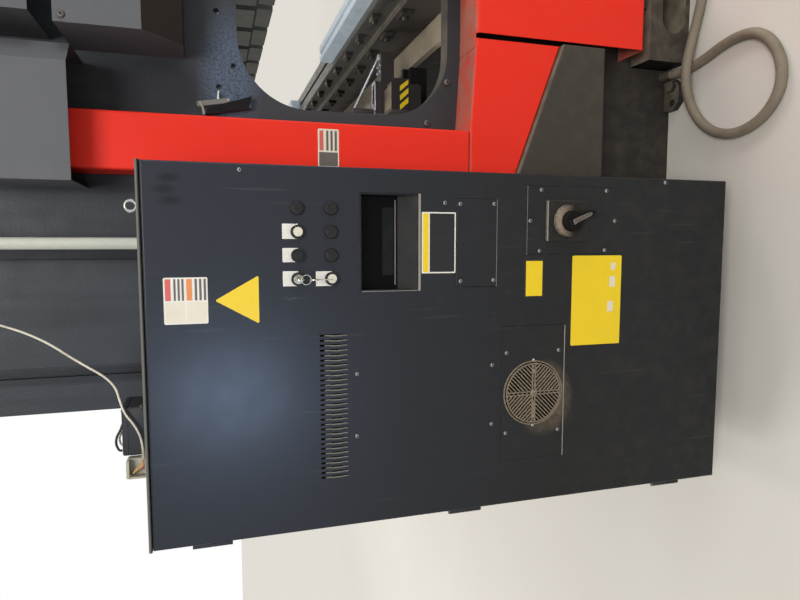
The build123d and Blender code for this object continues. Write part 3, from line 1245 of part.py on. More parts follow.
def cabinet_brackets():
    """The two rails that hold the cabinet off the frame, and each hinge's lower half and pin."""
    pieces = [
        block((CABINET_BACK, -FRAME_OUT), BRACKET_YS, around(z, BRACKET_HEIGHT)) for z in BRACKET_ZS
    ]
    for z in HINGE_ZS:
        low = z - HINGE_HEIGHT / 2
        half = rod((HINGE_X, HINGE_Y, low), (HINGE_X, HINGE_Y, z), KNUCKLE_RADIUS)
        half += rod((HINGE_X, HINGE_Y, z), (HINGE_X, HINGE_Y, z + HINGE_HEIGHT / 2 - 1), HINGE_PIN)
        half += block((HINGE_X, SHELL_FRONT + 20), (CABINET_REAR, CABINET_REAR + LEAF), (low, z))
        pieces.append(half)
    return group(*pieces)


def switchgear():
    """The mounting plate on its studs, with drives, ducts, contactors, transformer and breaker."""
    ys, zs, thick = MOUNT_PLATE
    back = CABINET_BACK - SHELL_WALL
    seat = back - PLATE_STANDOFF - thick
    low, high = face_ys(ys)
    plate = block((seat, seat + thick), (low, high), zs)
    for y in (low + STUD_IN, high - STUD_IN):
        for z in (zs[0] + STUD_IN, zs[1] - STUD_IN):
            plate += rod((seat + thick, y, z), (back, y, z), STUD_RADIUS)
    pieces = [plate]

    def unit(size, distance, z, edge):
        depth, width, height = size
        y = on_face(distance)
        body = block((seat - depth, seat), (y, y + width), (z, z + height))
        pieces.append(chamfer(body.faces().sort_by(Axis.X)[0].edges(), edge))

    for distance in DRIVE_STARTS:
        unit(DRIVE_SIZE, distance, DRIVE_Z, 4)
    for index in range(CONTACTOR_COUNT):
        unit(CONTACTOR_SIZE, CONTACTOR_START + index * CONTACTOR_PITCH, CONTACTOR_Z, 6)
    unit(TRANSFORMER, TRANSFORMER_Y, TRANSFORMER_Z, 10)
    unit(BREAKER_SIZE, BREAKER_Y, BREAKER_Z, 6)
    for z in DUCT_ZS:
        depth, height = DUCT_SIZE
        unit((depth, MOUNT_PLATE[0][1] - MOUNT_PLATE[0][0] - 40, height), MOUNT_PLATE[0][0] + 20, z, 2)
    return group(*pieces)


# On and above the cabinet

def riser_conduit():
    """The conduit that rises from the cabinet's roof to a coupling with an open end."""
    x, y = CONDUIT_X, CONDUIT_Y
    pipe = rod((x, y, ROOF_TOP), (x, y, CONDUIT_TOP - COUPLING_SOCKET), CONDUIT_RADIUS)
    pipe += hex_head((x, y, ROOF_TOP), (x, y, ROOF_TOP + LOCKNUT_HEIGHT), 2 * LOCKNUT_RADIUS)
    pipe += rod((x, y, CONDUIT_TOP - COUPLING_LENGTH), (x, y, CONDUIT_TOP), COUPLING_RADIUS)
    pipe -= rod((x, y, ROOF_TOP), (x, y, CONDUIT_TOP), CONDUIT_BORE)
    return pipe - rod((x, y, CONDUIT_TOP - COUPLING_SOCKET), (x, y, CONDUIT_TOP), COUPLING_BORE)


def eyebolt():
    """The lifting eye on the roof."""
    x, y = EYE_X, EYE_Y
    collar = rod((x, y, ROOF_TOP), (x, y, ROOF_TOP + EYE_COLLAR_HEIGHT), EYE_COLLAR)
    centre = ROOF_TOP + EYE_COLLAR_HEIGHT + EYE_RADIUS + EYE_WIRE - 1
    return collar + Pos(x, y, centre) * Rot(0, 90, 0) * Torus(EYE_RADIUS, EYE_WIRE)


def junction_box():
    """The small box on the roof, and the gland box and clip of the thin cord."""
    xs, ys, height = JUNCTION
    case = block(xs, ys, (ROOF_TOP, ROOF_TOP + height))
    case = fillet(case.edges(), 5)
    gland_xs, gland_ys, gland_height = GLAND_BOX
    gland = block(gland_xs, gland_ys, (ROOF_TOP, ROOF_TOP + gland_height))
    gland = fillet(gland.edges().filter_by(Axis.Z), 4)
    depth, width, tall = CLIP_SIZE
    end = SIGNAL_ROUTE[-1]
    clip = block((-FRAME_OUT - depth, -FRAME_OUT), around(end[1], width), around(end[2], tall))
    return group(case, gland, clip)


def signal_cord():
    """The thin white cord from the gland box up to its clip on the frame."""
    return tube(SIGNAL_ROUTE, SIGNAL_RADIUS)


def floor_cord():
    """The thick grey cord from under the frame, round its loop, to the foot pedal."""
    return tube(CORD_ROUTE, CORD_RADIUS)


# Foot pedal

def pedal_housing():
    """The hooded pedal case, open to the operator, with the cord's gland at its back."""
    front = PEDAL_REAR - PEDAL_LENGTH
    half = PEDAL_WIDTH / 2
    outline = [
        (front, 0), (PEDAL_REAR, 0), (PEDAL_REAR, PEDAL_SHOULDER), (PEDAL_REAR - PEDAL_NOSE, PEDAL_HEIGHT),
        (front + PEDAL_NOSE / 2, PEDAL_HEIGHT), (front, PEDAL_HEIGHT - PEDAL_NOSE / 3),
    ]
    wall = PEDAL_WALL
    inside = [
        (front, wall), (PEDAL_REAR - wall, wall), (PEDAL_REAR - wall, PEDAL_SHOULDER - wall / 2),
        (PEDAL_REAR - PEDAL_NOSE - wall / 4, PEDAL_HEIGHT - wall), (front, PEDAL_HEIGHT - wall),
    ]
    case = prism_x(outline, PEDAL_X - half, PEDAL_X + half)
    case = fillet(case.edges().filter_by(Axis.X).group_by(Axis.Z)[-1], PEDAL_NOSE / 5)
    case -= prism_x(inside, PEDAL_X - half + wall, PEDAL_X + half - wall)
    y, z = TREADLE_PIVOT
    case -= rod((PEDAL_X - half + 2, y, z), (PEDAL_X + half - 2, y, z), TREADLE_PIN + RUNNING)
    end = CORD_ROUTE[-1]
    radius, length = GLAND_STUB
    return case + rod((end[0], PEDAL_REAR, end[2]), (end[0], PEDAL_REAR + length, end[2]), radius)


def pedal_treadle():
    """The treadle on its pin, set between the case's walls."""
    y, z = TREADLE_PIVOT
    half = PEDAL_WIDTH / 2 - PEDAL_WALL - 1
    plate = block(
        around(PEDAL_X, 2 * half), (y - TREADLE_LENGTH, y), (z - TREADLE_THICK / 2, z + TREADLE_THICK / 2)
    )
    plate = fillet(plate.edges().filter_by(Axis.Z).group_by(Axis.Y)[0], 3 * TREADLE_BOSS)
    plate += rod((PEDAL_X - half, y, z), (PEDAL_X + half, y, z), TREADLE_BOSS)
    reach = PEDAL_WIDTH / 2 - 3
    return plate + rod((PEDAL_X - reach, y, z), (PEDAL_X + reach, y, z), TREADLE_PIN)


# Operator's pendant

def pendant_socket():
    """The socket on top of the right side frame that the pendant's arm turns in."""
    top = FRAME_TOP + SOCKET_HEIGHT
    floor = FRAME_TOP + PLATE_HOLE
    socket = rod((PENDANT_X, PIVOT_Y, FRAME_TOP), (PENDANT_X, PIVOT_Y, top), SOCKET_RADIUS)
    return socket - rod((PENDANT_X, PIVOT_Y, floor), (PENDANT_X, PIVOT_Y, top), PIVOT_RADIUS + RUNNING)


def pendant_arm():
    """The swinging arm: pivot, boom, drop tube and the pin at its foot."""
    x, z0 = PENDANT_X, FRAME_TOP + SOCKET_HEIGHT + SEAT
    tip_y = PIVOT_Y - ARM_REACH
    arm = rod((x, PIVOT_Y, FRAME_TOP + 2 * PLATE_HOLE), (x, PIVOT_Y, z0 + ARM_SIZE), PIVOT_RADIUS)
    boom = block(
        around(x, ARM_SIZE), (tip_y - ARM_SIZE / 2, PIVOT_Y + ARM_SIZE / 2), (z0, z0 + ARM_SIZE)
    )
    arm += chamfer(boom.edges().filter_by(Axis.Y), BEND)
    arm += rod((x, tip_y, PENDANT_TOP + SEAT), (x, tip_y, z0), DROP_RADIUS)
    return arm + rod((x, tip_y, PENDANT_TOP - PENDANT_DEPTH / 2), (x, tip_y, PENDANT_TOP + SEAT), PENDANT_PIN)


def pendant_box():
    """The control box, with its screen recess, shelf edge and the hole of the stop button."""
    tip_y = PIVOT_Y - ARM_REACH
    ys = around(tip_y, PENDANT_DEPTH)
    case = block(around(PENDANT_X, PENDANT_WIDTH), ys, (PENDANT_TOP - PENDANT_HEIGHT, PENDANT_TOP))
    case = fillet(case.edges().filter_by(Axis.Y), PENDANT_EDGE)
    width, height, depth = SCREEN
    screen_top = PENDANT_TOP - 2 * PENDANT_EDGE
    case -= block(
        around(PENDANT_X - 3 * PENDANT_EDGE, width), (ys[0], ys[0] + depth), (screen_top - height, screen_top)
    )
    pin_foot = PENDANT_TOP - PENDANT_DEPTH / 2 - 1
    case -= rod((PENDANT_X, tip_y, pin_foot), (PENDANT_X, tip_y, PENDANT_TOP), PENDANT_PIN + RUNNING)
    stop_x, stop_z = PENDANT_X + STOP_PLACE[0], STOP_PLACE[1]
    return case - rod((stop_x, ys[0], stop_z), (stop_x, ys[0] + 5 * STOP_TRAVEL, stop_z), STOP_STEM + RUNNING)


def stop_button():
    """The red mushroom button on the control box."""
    x, z = PENDANT_X + STOP_PLACE[0], STOP_PLACE[1]
    face = PIVOT_Y - ARM_REACH - PENDANT_DEPTH / 2
    stem = rod((x, face - STOP_TRAVEL - 2, z), (x, face + 3 * STOP_TRAVEL, z), STOP_STEM)
    head = rod((x, face - 4 * STOP_TRAVEL, z), (x, face - STOP_TRAVEL - 1, z), STOP_RADIUS)
    head = fillet(head.faces().sort_by(Axis.Y)[0].edges(), 5)
    return stem + head


CORD_NODES = ("signal_cord", "floor_cord", "pedal_housing", "pedal_treadle")


def build():
    """Every node of the machine, by name."""
    left = side_frame()
    return {
        "left_side_frame": left,
        "right_side_frame": mirror(left, about=Plane.YZ) + pendant_socket(),
        "tie_beams": tie_beams(),
        "bed_beam": bed_beam(),
        "base_beam": base_beam(),
        "rear_ledge": rear_ledge(),
        "anchor_lugs": anchor_lugs(),
        "column_covers": column_covers(),
        "side_covers": side_covers(),
        "lower_guards": lower_guards(),
        "end_covers": end_covers(),
        "front_skirt": front_skirt(),
        "head_covers": head_covers(),
        "ram_covers": ram_covers(),
        "cylinders": cylinders(),
        "piston_rods": piston_rods(),
        "ram_beam": ram_beam(),
        "ram_guides": ram_guides(),
        "tool_holders": tool_holders(),
        "punch": punch(),
        "die_rail": die_rail(),
        "v_dies": v_dies(),
        "die_clamps": die_clamps(),
        "hydraulic_tank": hydraulic_tank(),
        "pump_motor": pump_motor(),
        "hydraulic_pipes": hydraulic_pipes(),
        "gauge_stand": gauge_stand(),
        "gauge_carriages": gauge_carriages(),
        "left_gauge_screw": gauge_screw(-1),
        "right_gauge_screw": gauge_screw(1),
        "gauge_beam": gauge_beam(),
        "left_finger": finger(-1),
        "right_finger": finger(1),
        "cabinet_shell": cabinet_shell(),
        "cabinet_door": cabinet_door(),
        "access_panels": access_panels(),
        "window_tray": window_tray(),
        "switch_bezels": switch_bezels(),
        "key": key(),
        "black_button": push_button(1, BUTTON_PROUD),
        "white_button": push_button(2, BUTTON_PROUD),
        "lower_button": push_button(4, BUTTON_PROUD - 1),
        "fan_guard": fan_guard(),
        "fan_frame": fan_frame(),
        "fan_rotor": fan_rotor(),
        "disconnect_plate": disconnect_plate(),
        "disconnect_handle": disconnect_handle(),
        "door_hinges": door_hinges(),
        "cabinet_brackets": cabinet_brackets(),
        "switchgear": switchgear(),
        "riser_conduit": riser_conduit(),
        "eyebolt": eyebolt(),
        "junction_box": junction_box(),
        "signal_cord": signal_cord(),
        "floor_cord": floor_cord(),
        "pedal_housing": pedal_housing(),
        "pedal_treadle": pedal_treadle(),
        "pendant_arm": pendant_arm(),
        "pendant_box": pendant_box(),
        "stop_button": stop_button(),
    }


def origin(nodes):
    """The middle of the bounding box at floor level, without the cords and what is on them."""
    boxes = [shape.bounding_box() for name, shape in nodes.items() if name not in CORD_NODES]
    low_x, high_x = min(box.min.X for box in boxes), max(box.max.X for box in boxes)
    low_y, high_y = min(box.min.Y for box in boxes), max(box.max.Y for box in boxes)
    return Vector((low_x + high_x) / 2, (low_y + high_y) / 2, 0)


def main():
    nodes = build()
    shift = Location(-origin(nodes))
    os.makedirs("parts", exist_ok=True)
    for name, shape in nodes.items():
        export_step(shape.moved(shift), f"parts/{name}.step")
    for name, route in (("floor cord", CORD_ROUTE), ("signal cord", SIGNAL_ROUTE)):
        print(name, "radii", [round(radius) for radius in path_radii(route)])
    print(len(nodes), "nodes, origin at", origin(nodes))


main()
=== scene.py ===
import json
import math
import bmesh
import bpy
from mathutils import Matrix, Vector


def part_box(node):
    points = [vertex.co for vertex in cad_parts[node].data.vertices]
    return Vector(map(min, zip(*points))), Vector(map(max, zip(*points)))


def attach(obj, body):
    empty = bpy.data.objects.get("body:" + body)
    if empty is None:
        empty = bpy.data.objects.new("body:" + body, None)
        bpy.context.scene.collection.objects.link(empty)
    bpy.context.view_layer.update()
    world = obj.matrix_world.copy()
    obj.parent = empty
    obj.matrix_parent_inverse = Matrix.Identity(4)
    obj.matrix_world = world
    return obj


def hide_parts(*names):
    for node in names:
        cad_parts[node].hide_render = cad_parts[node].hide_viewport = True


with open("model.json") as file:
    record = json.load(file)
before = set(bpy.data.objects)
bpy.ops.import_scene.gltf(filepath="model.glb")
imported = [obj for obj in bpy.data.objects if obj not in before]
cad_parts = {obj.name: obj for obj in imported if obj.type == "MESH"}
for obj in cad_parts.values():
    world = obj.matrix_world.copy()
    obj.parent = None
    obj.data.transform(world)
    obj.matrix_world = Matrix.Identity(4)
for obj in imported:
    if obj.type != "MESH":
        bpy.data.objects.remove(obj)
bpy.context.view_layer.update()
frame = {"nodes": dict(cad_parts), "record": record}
DOOR_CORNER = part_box("cabinet_door")[0]


# Faces and middles, in the machine's millimetres: x along the table, y to the rear, z up from the floor

DOOR = -1728.0
DOOR_SIDE = 601.0
DOOR_FOOT = 101.0
PANEL = -1729.0
PLATE_FACE = -1383.0
STRIP_FACE = -1495.0
COVER_FACE = -1578.0
ROOF = 1541.0
FAN = (1126.0, 662.0)
SWITCH = (711.0, 577.0)
SWITCH_DIAL = -1745.0
LEVER_SEAT = -1745.3
TANK_REAR = 1060.0
TANK_LID = 2262.0
MOTOR_AXIS = (830.0, 2125.0)
PENDANT_FACE = -575.0
SCREEN_RECESS = -571.0

LEFT = (-1, 0, 0)
RIGHT = (1, 0, 0)
FORWARD = (0, -1, 0)
REARWARD = (0, 1, 0)
UP = (0, 0, 1)


def at(x, y, z):
    """A place in metres from the machine's millimetres."""
    return DOOR_CORNER + Vector((x - DOOR, y - DOOR_SIDE, z - DOOR_FOOT)) / 1000.0


def box(node):
    """The two corners of a solid's box, in the machine's millimetres."""
    return [(corner - at(0, 0, 0)) * 1000 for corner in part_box(node)]


def srgb(colour, factor=1.0):
    """The linear values of a colour written from 0 to 255, made darker or lighter."""
    linear = [((c / 255 + 0.055) / 1.055) ** 2.4 if c > 10 else c / 3294.6 for c in colour]
    return (*[min(1.0, c * factor) for c in linear], 1.0)


def add(name, data):
    """A new object in the scene."""
    made = bpy.data.objects.new(name, data)
    bpy.context.scene.collection.objects.link(made)
    return made


# Camera

CAMERA_PLACE = (-3031.2, 768.1, 1399.3)
CAMERA_TURNS = (5.378, 16.957, 1.606)
CAMERA_LENS = 27.45
CAMERA_SENSOR = 36.0


def make_camera():
    """The picture lies on its side, so the camera's right points to the machine's floor."""
    yaw, pitch, roll = (math.radians(angle) for angle in CAMERA_TURNS)
    ahead = Vector((math.cos(pitch) * math.cos(yaw), math.cos(pitch) * math.sin(yaw), -math.sin(pitch)))
    level = Vector((math.sin(yaw), -math.cos(yaw), 0.0))
    below = ahead.cross(level)
    side = math.cos(roll) * level + math.sin(roll) * below
    down = math.cos(roll) * below - math.sin(roll) * level
    data = bpy.data.cameras.new("camera")
    data.sensor_width = CAMERA_SENSOR
    data.lens = CAMERA_LENS
    camera = add("camera", data)
    turned = Matrix((down, side, -ahead)).transposed().to_4x4()
    camera.matrix_world = Matrix.Translation(at(*CAMERA_PLACE)) @ turned
    bpy.context.scene.camera = camera


make_camera()
bpy.context.scene.view_settings.view_transform = "Standard"


# Materials

FRAME = (55, 57, 60)
DUST = (150, 138, 118)
BARE = (150, 148, 142)
RUBBED = (104, 104, 100)
RED_UNDER = (150, 62, 50)
EVEN = (1, 1, 1)
BEVEL_SAMPLES = 4
COAT_EDGE = 0.0012
PEEL_DEPTH = 0.00003
DIMPLE_DEPTH = 0.0005
GRAIN_DEPTH = 0.00002
SMEAR_DEPTH = 0.00004
FINISHES = {}


class Finish:
    """A node material under construction. Sizes are in metres, places in the machine's millimetres."""

    def __init__(self, name, colour, rough, **sockets):
        self.name = name
        self.material = bpy.data.materials.new(name)
        self.material.use_nodes = True
        self.tree = self.material.node_tree
        self.shader = self.tree.nodes["Principled BSDF"]
        self.place = self.node("TexCoord").outputs["Object"]
        self.colour = srgb(colour)
        self.rough = rough
        self.normal = None
        for key, value in sockets.items():
            self.shader.inputs[key.replace("_", " ")].default_value = value

    def feed(self, socket, value):
        """Links an output to the socket, or sets the socket to a value."""
        if isinstance(value, bpy.types.NodeSocket):
            self.tree.links.new(value, socket)
        else:
            socket.default_value = value

    def node(self, kind, props=None, **inputs):
        """A shader node with its settings and inputs."""
        made = self.tree.nodes.new("ShaderNode" + kind)
        for key, value in (props or {}).items():
            setattr(made, key, value)
        for key, value in inputs.items():
            self.feed(made.inputs[key.replace("_", " ")], value)
        return made

    def vector(self, operation, first, second=None):
        """A vector operation on one or two vectors."""
        made = self.node("VectorMath", {"operation": operation})
        self.feed(made.inputs[0], first)
        if second is not None:
            self.feed(made.inputs[1], second)
        return made.outputs

    def noise(self, size, detail, stretch=EVEN, warp=0.0):
        """Noise whose features are about this large, drawn out along the axes."""
        scale = [1.0 / (size * factor) for factor in stretch]
        place = self.node("Mapping", Vector=self.place, Scale=scale).outputs["Vector"]
        return self.node("TexNoise", Vector=place, Scale=1.0, Detail=detail, Distortion=warp).outputs["Fac"]

    def cells(self, size):
        """Soft distance to the nearest cell's middle."""
        made = self.node("TexVoronoi", {"feature": "SMOOTH_F1"}, Vector=self.place, Scale=1.0 / size)
        return made.outputs["Distance"]

    def span(self, value, low, high, to_low=0.0, to_high=1.0):
        """The value between two levels, spread between two others."""
        made = self.node("MapRange", Value=value, From_Min=low, From_Max=high, To_Min=to_low, To_Max=to_high)
        return made.outputs["Result"]

    def cloud(self, size, detail, low, high, most=1.0, least=0.0, **shape):
        """Patches of noise: the least up to its low level, the most from its high one."""
        return self.span(self.noise(size, detail, **shape), low, high, least, most)

    def times(self, *factors):
        """The product of the factors."""
        product = factors[0]
        for factor in factors[1:]:
            made = self.node("Math", {"operation": "MULTIPLY"})
            self.feed(made.inputs[0], product)
            self.feed(made.inputs[1], factor)
            product = made.outputs[0]
        return product

    def along(self, axis):
        """The place along an axis."""
        return self.node("SeparateXYZ", Vector=self.place).outputs[axis]

    def height(self, low, high):
        """1 at the low height above the floor, falling to 0 at the high one."""
        return self.span(self.along("Z"), low, high, 1.0, 0.0)

    def facing(self, axis, low, high):
        """How far the surface faces along an axis, from 0 at the low share to 1 at the high one."""
        split = self.node("SeparateXYZ", Vector=self.node("NewGeometry").outputs["Normal"])
        return self.span(split.outputs[axis], low, high)

    def upward(self, low=0.6, high=0.95):
        """1 where the surface faces up."""
        return self.facing("Z", low, high)

    def band(self, axis, low, high, soft=0.004):
        """1 between two places along an axis, with soft ends."""
        zero = at(0, 0, 0)["XYZ".index(axis)]
        low, high = zero + low / 1000, zero + high / 1000
        rise = self.span(self.along(axis), low - soft, low + soft)
        return self.times(rise, self.span(self.along(axis), high - soft, high + soft, 1.0, 0.0))

    def spot(self, place, reach, core=0.3):
        """1 about a place, falling to 0 at this reach along each axis."""
        away = self.vector("SUBTRACT", self.place, at(*place))["Vector"]
        share = self.vector("DIVIDE", away, reach)["Vector"]
        return self.span(self.vector("LENGTH", share)["Value"], 1.0, core)

    def softened(self, size):
        """The normal with its edges rounded."""
        return self.node("Bevel", {"samples": BEVEL_SAMPLES}, Radius=size).outputs["Normal"]

    def edge(self, size):
        """Near 1 along the edges, 0 on the faces."""
        flat = self.node("NewGeometry").outputs["Normal"]
        return self.span(self.vector("DOT_PRODUCT", self.softened(size), flat)["Value"], 0.985, 0.80)

    def round(self, size):
        """Rounds how the edges take the light."""
        self.normal = self.softened(size)

    def tint(self, colour, *factors, by=1.0):
        """Lays a colour, made darker or lighter, over those before, as strongly as the factors say."""
        made = self.node("Mix", {"data_type": "RGBA"})
        self.feed(made.inputs[0], self.times(*factors))
        self.feed(made.inputs[6], self.colour)
        self.feed(made.inputs[7], srgb(colour, by))
        self.colour = made.outputs[2]

    def vary(self, size, detail, less, more, low=0.3, **shape):
        """Lets the roughness wander in patches, from this much less to this much more."""
        self.rough = self.cloud(size, detail, low, 0.7, self.rough + more, self.rough + less, **shape)

    def bump(self, height, depth, strength=1.0):
        """Relief of a depth over what the normal has so far."""
        made = self.node("Bump", Height=height, Distance=depth, Strength=strength)
        if self.normal:
            self.feed(made.inputs["Normal"], self.normal)
        self.normal = made.outputs["Normal"]

    def done(self):
        """Feeds the shader and keeps the material under its name."""
        self.feed(self.shader.inputs["Base Color"], self.colour)
        self.feed(self.shader.inputs["Roughness"], self.rough)
        if self.normal:
            self.feed(self.shader.inputs["Normal"], self.normal)
        FINISHES[self.name] = self.material


def coat(name, colour, rough, gloss=0.2, tone=0.12, dust=0.1, settled=0.35, chips=0.4, chip=BARE,
         low=None, rise=(0.15, 1.0), fleck_and_sheen=None, cell=0.0, extra=None, haze=(-0.04, 0.08)):
    """Paint: orange peel, faint cloudy tone, dust low down and on top faces, and edges rubbed through."""
    made = Finish(name, colour, rough, Specular_IOR_Level=gloss)
    made.round(COAT_EDGE)
    # Towards the floor the colour turns to the low one: painted shade, darker low down, on the frame, the
    # cabinet and the door, and paler dust on the table.
    if low:
        made.tint(low, made.height(*rise))
    made.tint(colour, made.cloud(0.45, 2, 0.4, 0.65, tone), by=1.5)
    made.tint(colour, made.cloud(0.11, 4, 0.5, 0.75, tone, warp=0.5), by=0.55)
    # Pale bluish flecks, stronger higher up: the hammered paint's own flecks, and partly a painted reflection
    # of light from above.
    if fleck_and_sheen:
        made.tint(fleck_and_sheen, made.height(2.6, 1.0), made.cloud(0.003, 3, 0.45, 0.75, 0.5))
    made.tint(DUST, made.height(0.0, 1.0), made.cloud(0.04, 5, 0.42, 0.75, dust, warp=0.4))
    made.tint(DUST, made.upward(), made.cloud(0.05, 4, 0.25, 0.6, settled, 0.3 * settled))
    made.tint(chip, made.edge(COAT_EDGE), made.cloud(0.012, 4, 0.5, 0.62, chips))
    if extra:
        extra(made)
    made.vary(0.06, 4, *haze)
    if cell:
        made.bump(made.cells(cell), DIMPLE_DEPTH, 0.5)
    else:
        made.bump(made.noise(0.0018, 1), PEEL_DEPTH)
    made.done()


def door_marks(made):
    """Dust blown out round the fan, a hand's dark prints, fine rubs, and scuffs below the upper plate."""
    blown = made.spot((DOOR, 1142, 630), (0.2, 0.098, 0.082), 0.62)
    made.tint((104, 92, 74), blown, made.cloud(0.02, 4, 0.3, 0.7, 0.9, 0.3, warp=0.5))
    for y, z in ((679, 1477), (657, 1488), (634, 1479)):
        made.tint((24, 26, 29), made.spot((DOOR, y, z), (0.05, 0.013, 0.028)), 0.7)
    made.tint((104, 108, 112), made.cloud(0.012, 3, 0.66, 0.76, 0.14, stretch=(1, 1, 22)))
    scuffs = made.cloud(0.005, 3, 0.68, 0.76, 0.2, stretch=(1, 3, 9), warp=0.3)
    made.tint((120, 122, 122), made.band("Y", 860, 930, 0.02), scuffs)


def frame_dirt_and_painted_light(made):
    """Painted shade in the recesses between the upper plates, runs of oily dirt, a painted shadow under the
    head cover, and a painted bluish patch of light on the plate below the covers.
    """
    above = made.band("Z", 1450, 2600, 0.05)
    # Painted shade: dark bands in the recesses between the upper plates.
    for low, high in ((1070, 1108), (778, 810), (612, 640)):
        made.tint((24, 26, 30), made.band("Y", low, high, 0.005), above, 0.6)
    runs = made.cloud(0.03, 3, 0.46, 0.7, 0.35, stretch=(1, 1, 16))
    made.tint(FRAME, runs, above, by=0.55)
    # Painted shadow under the head cover's overhang.
    made.tint((20, 22, 28), made.spot((PLATE_FACE, 385, 1520), (0.2, 0.1, 0.14), 0.6), 0.6)
    # Painted light: a bluish lit patch of fine flecks on the plate below the ram cover.
    pale_area = made.cloud(0.006, 4, 0.36, 0.62, 0.85, 0.15)
    made.tint((86, 100, 122), made.spot((PLATE_FACE, 345, 1345), (0.2, 0.19, 0.085), 0.4), pale_area)


def painted_ledge_shade(made):
    """Painted shade: near black on the rear faces under the ledge, where the cavity lies in shade."""
    made.tint((14, 13, 12), made.facing("Y", 0.4, 0.8), made.band("Z", 0, 716), 0.85)


def painted_underside_shade(made):
    """Painted shade: darker brown on the faces that look down."""
    made.tint((40, 35, 33), made.facing("Z", -0.2, -0.7))


def painted_stand_shade(made):
    """Painted shade: near black low on the gauge's stands, under the ledge."""
    made.tint((16, 15, 14), made.band("Z", 0, 735), 0.85)


def dial_marks(made):
    """Pale wear and dust on the upper half of the main switch's dial."""
    made.tint((150, 133, 114), made.band("Z", 588, 640, 0.018), made.cloud(0.004, 4, 0.3, 0.6, 1.0, 0.6))


def roof_dust_and_highlight(made):
    """A pale rim round the roof: dust, and a painted highlight along its front edge."""
    made.tint((128, 124, 114), made.band("Z", 1536.5, 1600, 0.001), 0.55)


def steel(name, colour, rough, stretch=EVEN, line=0.0012, stain=0.35, tarnish=(96, 86, 72), depth=GRAIN_DEPTH,
          edge=0.0006, metallic=0.85, settled=0.2):
    """Machined steel: drawn-out tool marks, oil and rust stains, and bright rubbed edges."""
    made = Finish(name, colour, rough, Metallic=metallic)
    made.round(edge)
    marks = made.noise(line, 3, stretch=stretch)
    made.tint(colour, made.span(marks, 0.3, 0.7, 0.0, 0.35), by=0.7)
    made.tint(tarnish, made.cloud(0.07, 6, 0.48, 0.75, stain, warp=1.2))
    made.tint(tarnish, made.cloud(0.012, 4, 0.6, 0.75, stain, warp=0.5), by=0.6)
    made.tint(DUST, made.upward(), made.cloud(0.03, 4, 0.3, 0.6, settled))
    made.tint(colour, made.edge(edge * 2), made.cloud(0.01, 3, 0.4, 0.6), by=1.4)
    made.vary(0.03, 5, -0.08, 0.14)
    made.bump(marks, depth)
    made.done()


def plastic(name, colour, rough, grain=0.0006, dust=0.25, tone=DUST, gloss=0.3, edge=0.0005, top=0.0):
    """Moulded plastic: fine grain, dust in patches, and edges polished by use."""
    made = Finish(name, colour, rough, Specular_IOR_Level=gloss)
    made.round(edge)
    made.tint(colour, made.cloud(0.02, 4, 0.35, 0.7, 0.4), by=0.85)
    made.tint(tone, made.cloud(0.004, 5, 0.45, 0.75, dust, warp=0.4))
    made.tint(tone, made.upward(), made.cloud(0.01, 3, 0.3, 0.6, dust))
    if top:
        made.tint(tone, made.upward(0.15, 0.6), made.cloud(0.006, 4, 0.3, 0.6, top, 0.4 * top))
    made.tint(colour, made.edge(edge * 2), made.cloud(0.003, 3, 0.4, 0.6, 0.5), by=1.5)
    made.vary(0.008, 4, -0.06, 0.12)
    made.bump(made.noise(grain, 1), GRAIN_DEPTH)
    made.done()


def sheath(name, colour, rough, tone, lit_top):
    """Cord sheath: matt, scuffed, dirty in patches, and a little paler where it faces up, as painted light
    from above.
    """
    made = Finish(name, colour, rough, Specular_IOR_Level=0.2)
    made.tint(tone, made.cloud(0.05, 5, 0.4, 0.7, 0.5, warp=0.5))
    made.tint(colour, made.cloud(0.006, 4, 0.5, 0.72, 0.5), by=1.35)
    made.tint(tone, made.cloud(0.003, 3, 0.62, 0.75, 0.5, stretch=(4, 4, 1)), by=0.6)
    # Painted light: the upper side a little paler.
    made.tint(colour, made.upward(-0.7, 0.2), lit_top, by=1.1)
    made.vary(0.02, 4, -0.08, 0.08)
    made.bump(made.noise(0.0012, 2), SMEAR_DEPTH)
    made.done()


def film(name, colour, wear=0.3):
    """Printed foil: nearly even, a little faded and scratched."""
    made = Finish(name, colour, 0.38, Specular_IOR_Level=0.3)
    made.tint(colour, made.cloud(0.03, 5, 0.4, 0.75, wear), by=0.82)
    made.tint(colour, made.cloud(0.0015, 3, 0.66, 0.74, wear, stretch=(1, 9, 1)), by=1.3)
    made.tint(DUST, made.edge(0.0008), made.cloud(0.004, 3, 0.45, 0.6, 0.6))
    made.vary(0.012, 4, -0.05, 0.12)
    made.bump(made.noise(0.004, 2), PEEL_DEPTH)
    made.done()


def glass(name, colour, rough=0.12, gloss=0.06):
    """A smooth dark pane, with finger smears that change its gloss."""
    made = Finish(name, colour, rough, Specular_IOR_Level=gloss)
    made.tint(colour, made.cloud(0.05, 4, 0.45, 0.75, 0.5), by=1.6)
    made.tint(DUST, made.cloud(0.006, 5, 0.62, 0.85, 0.03))
    made.vary(0.02, 5, -0.04, 0.16, low=0.4, warp=1.0)
    made.bump(made.noise(0.05, 1), SMEAR_DEPTH)
    made.done()


ALONG_X = (30, 1, 1)
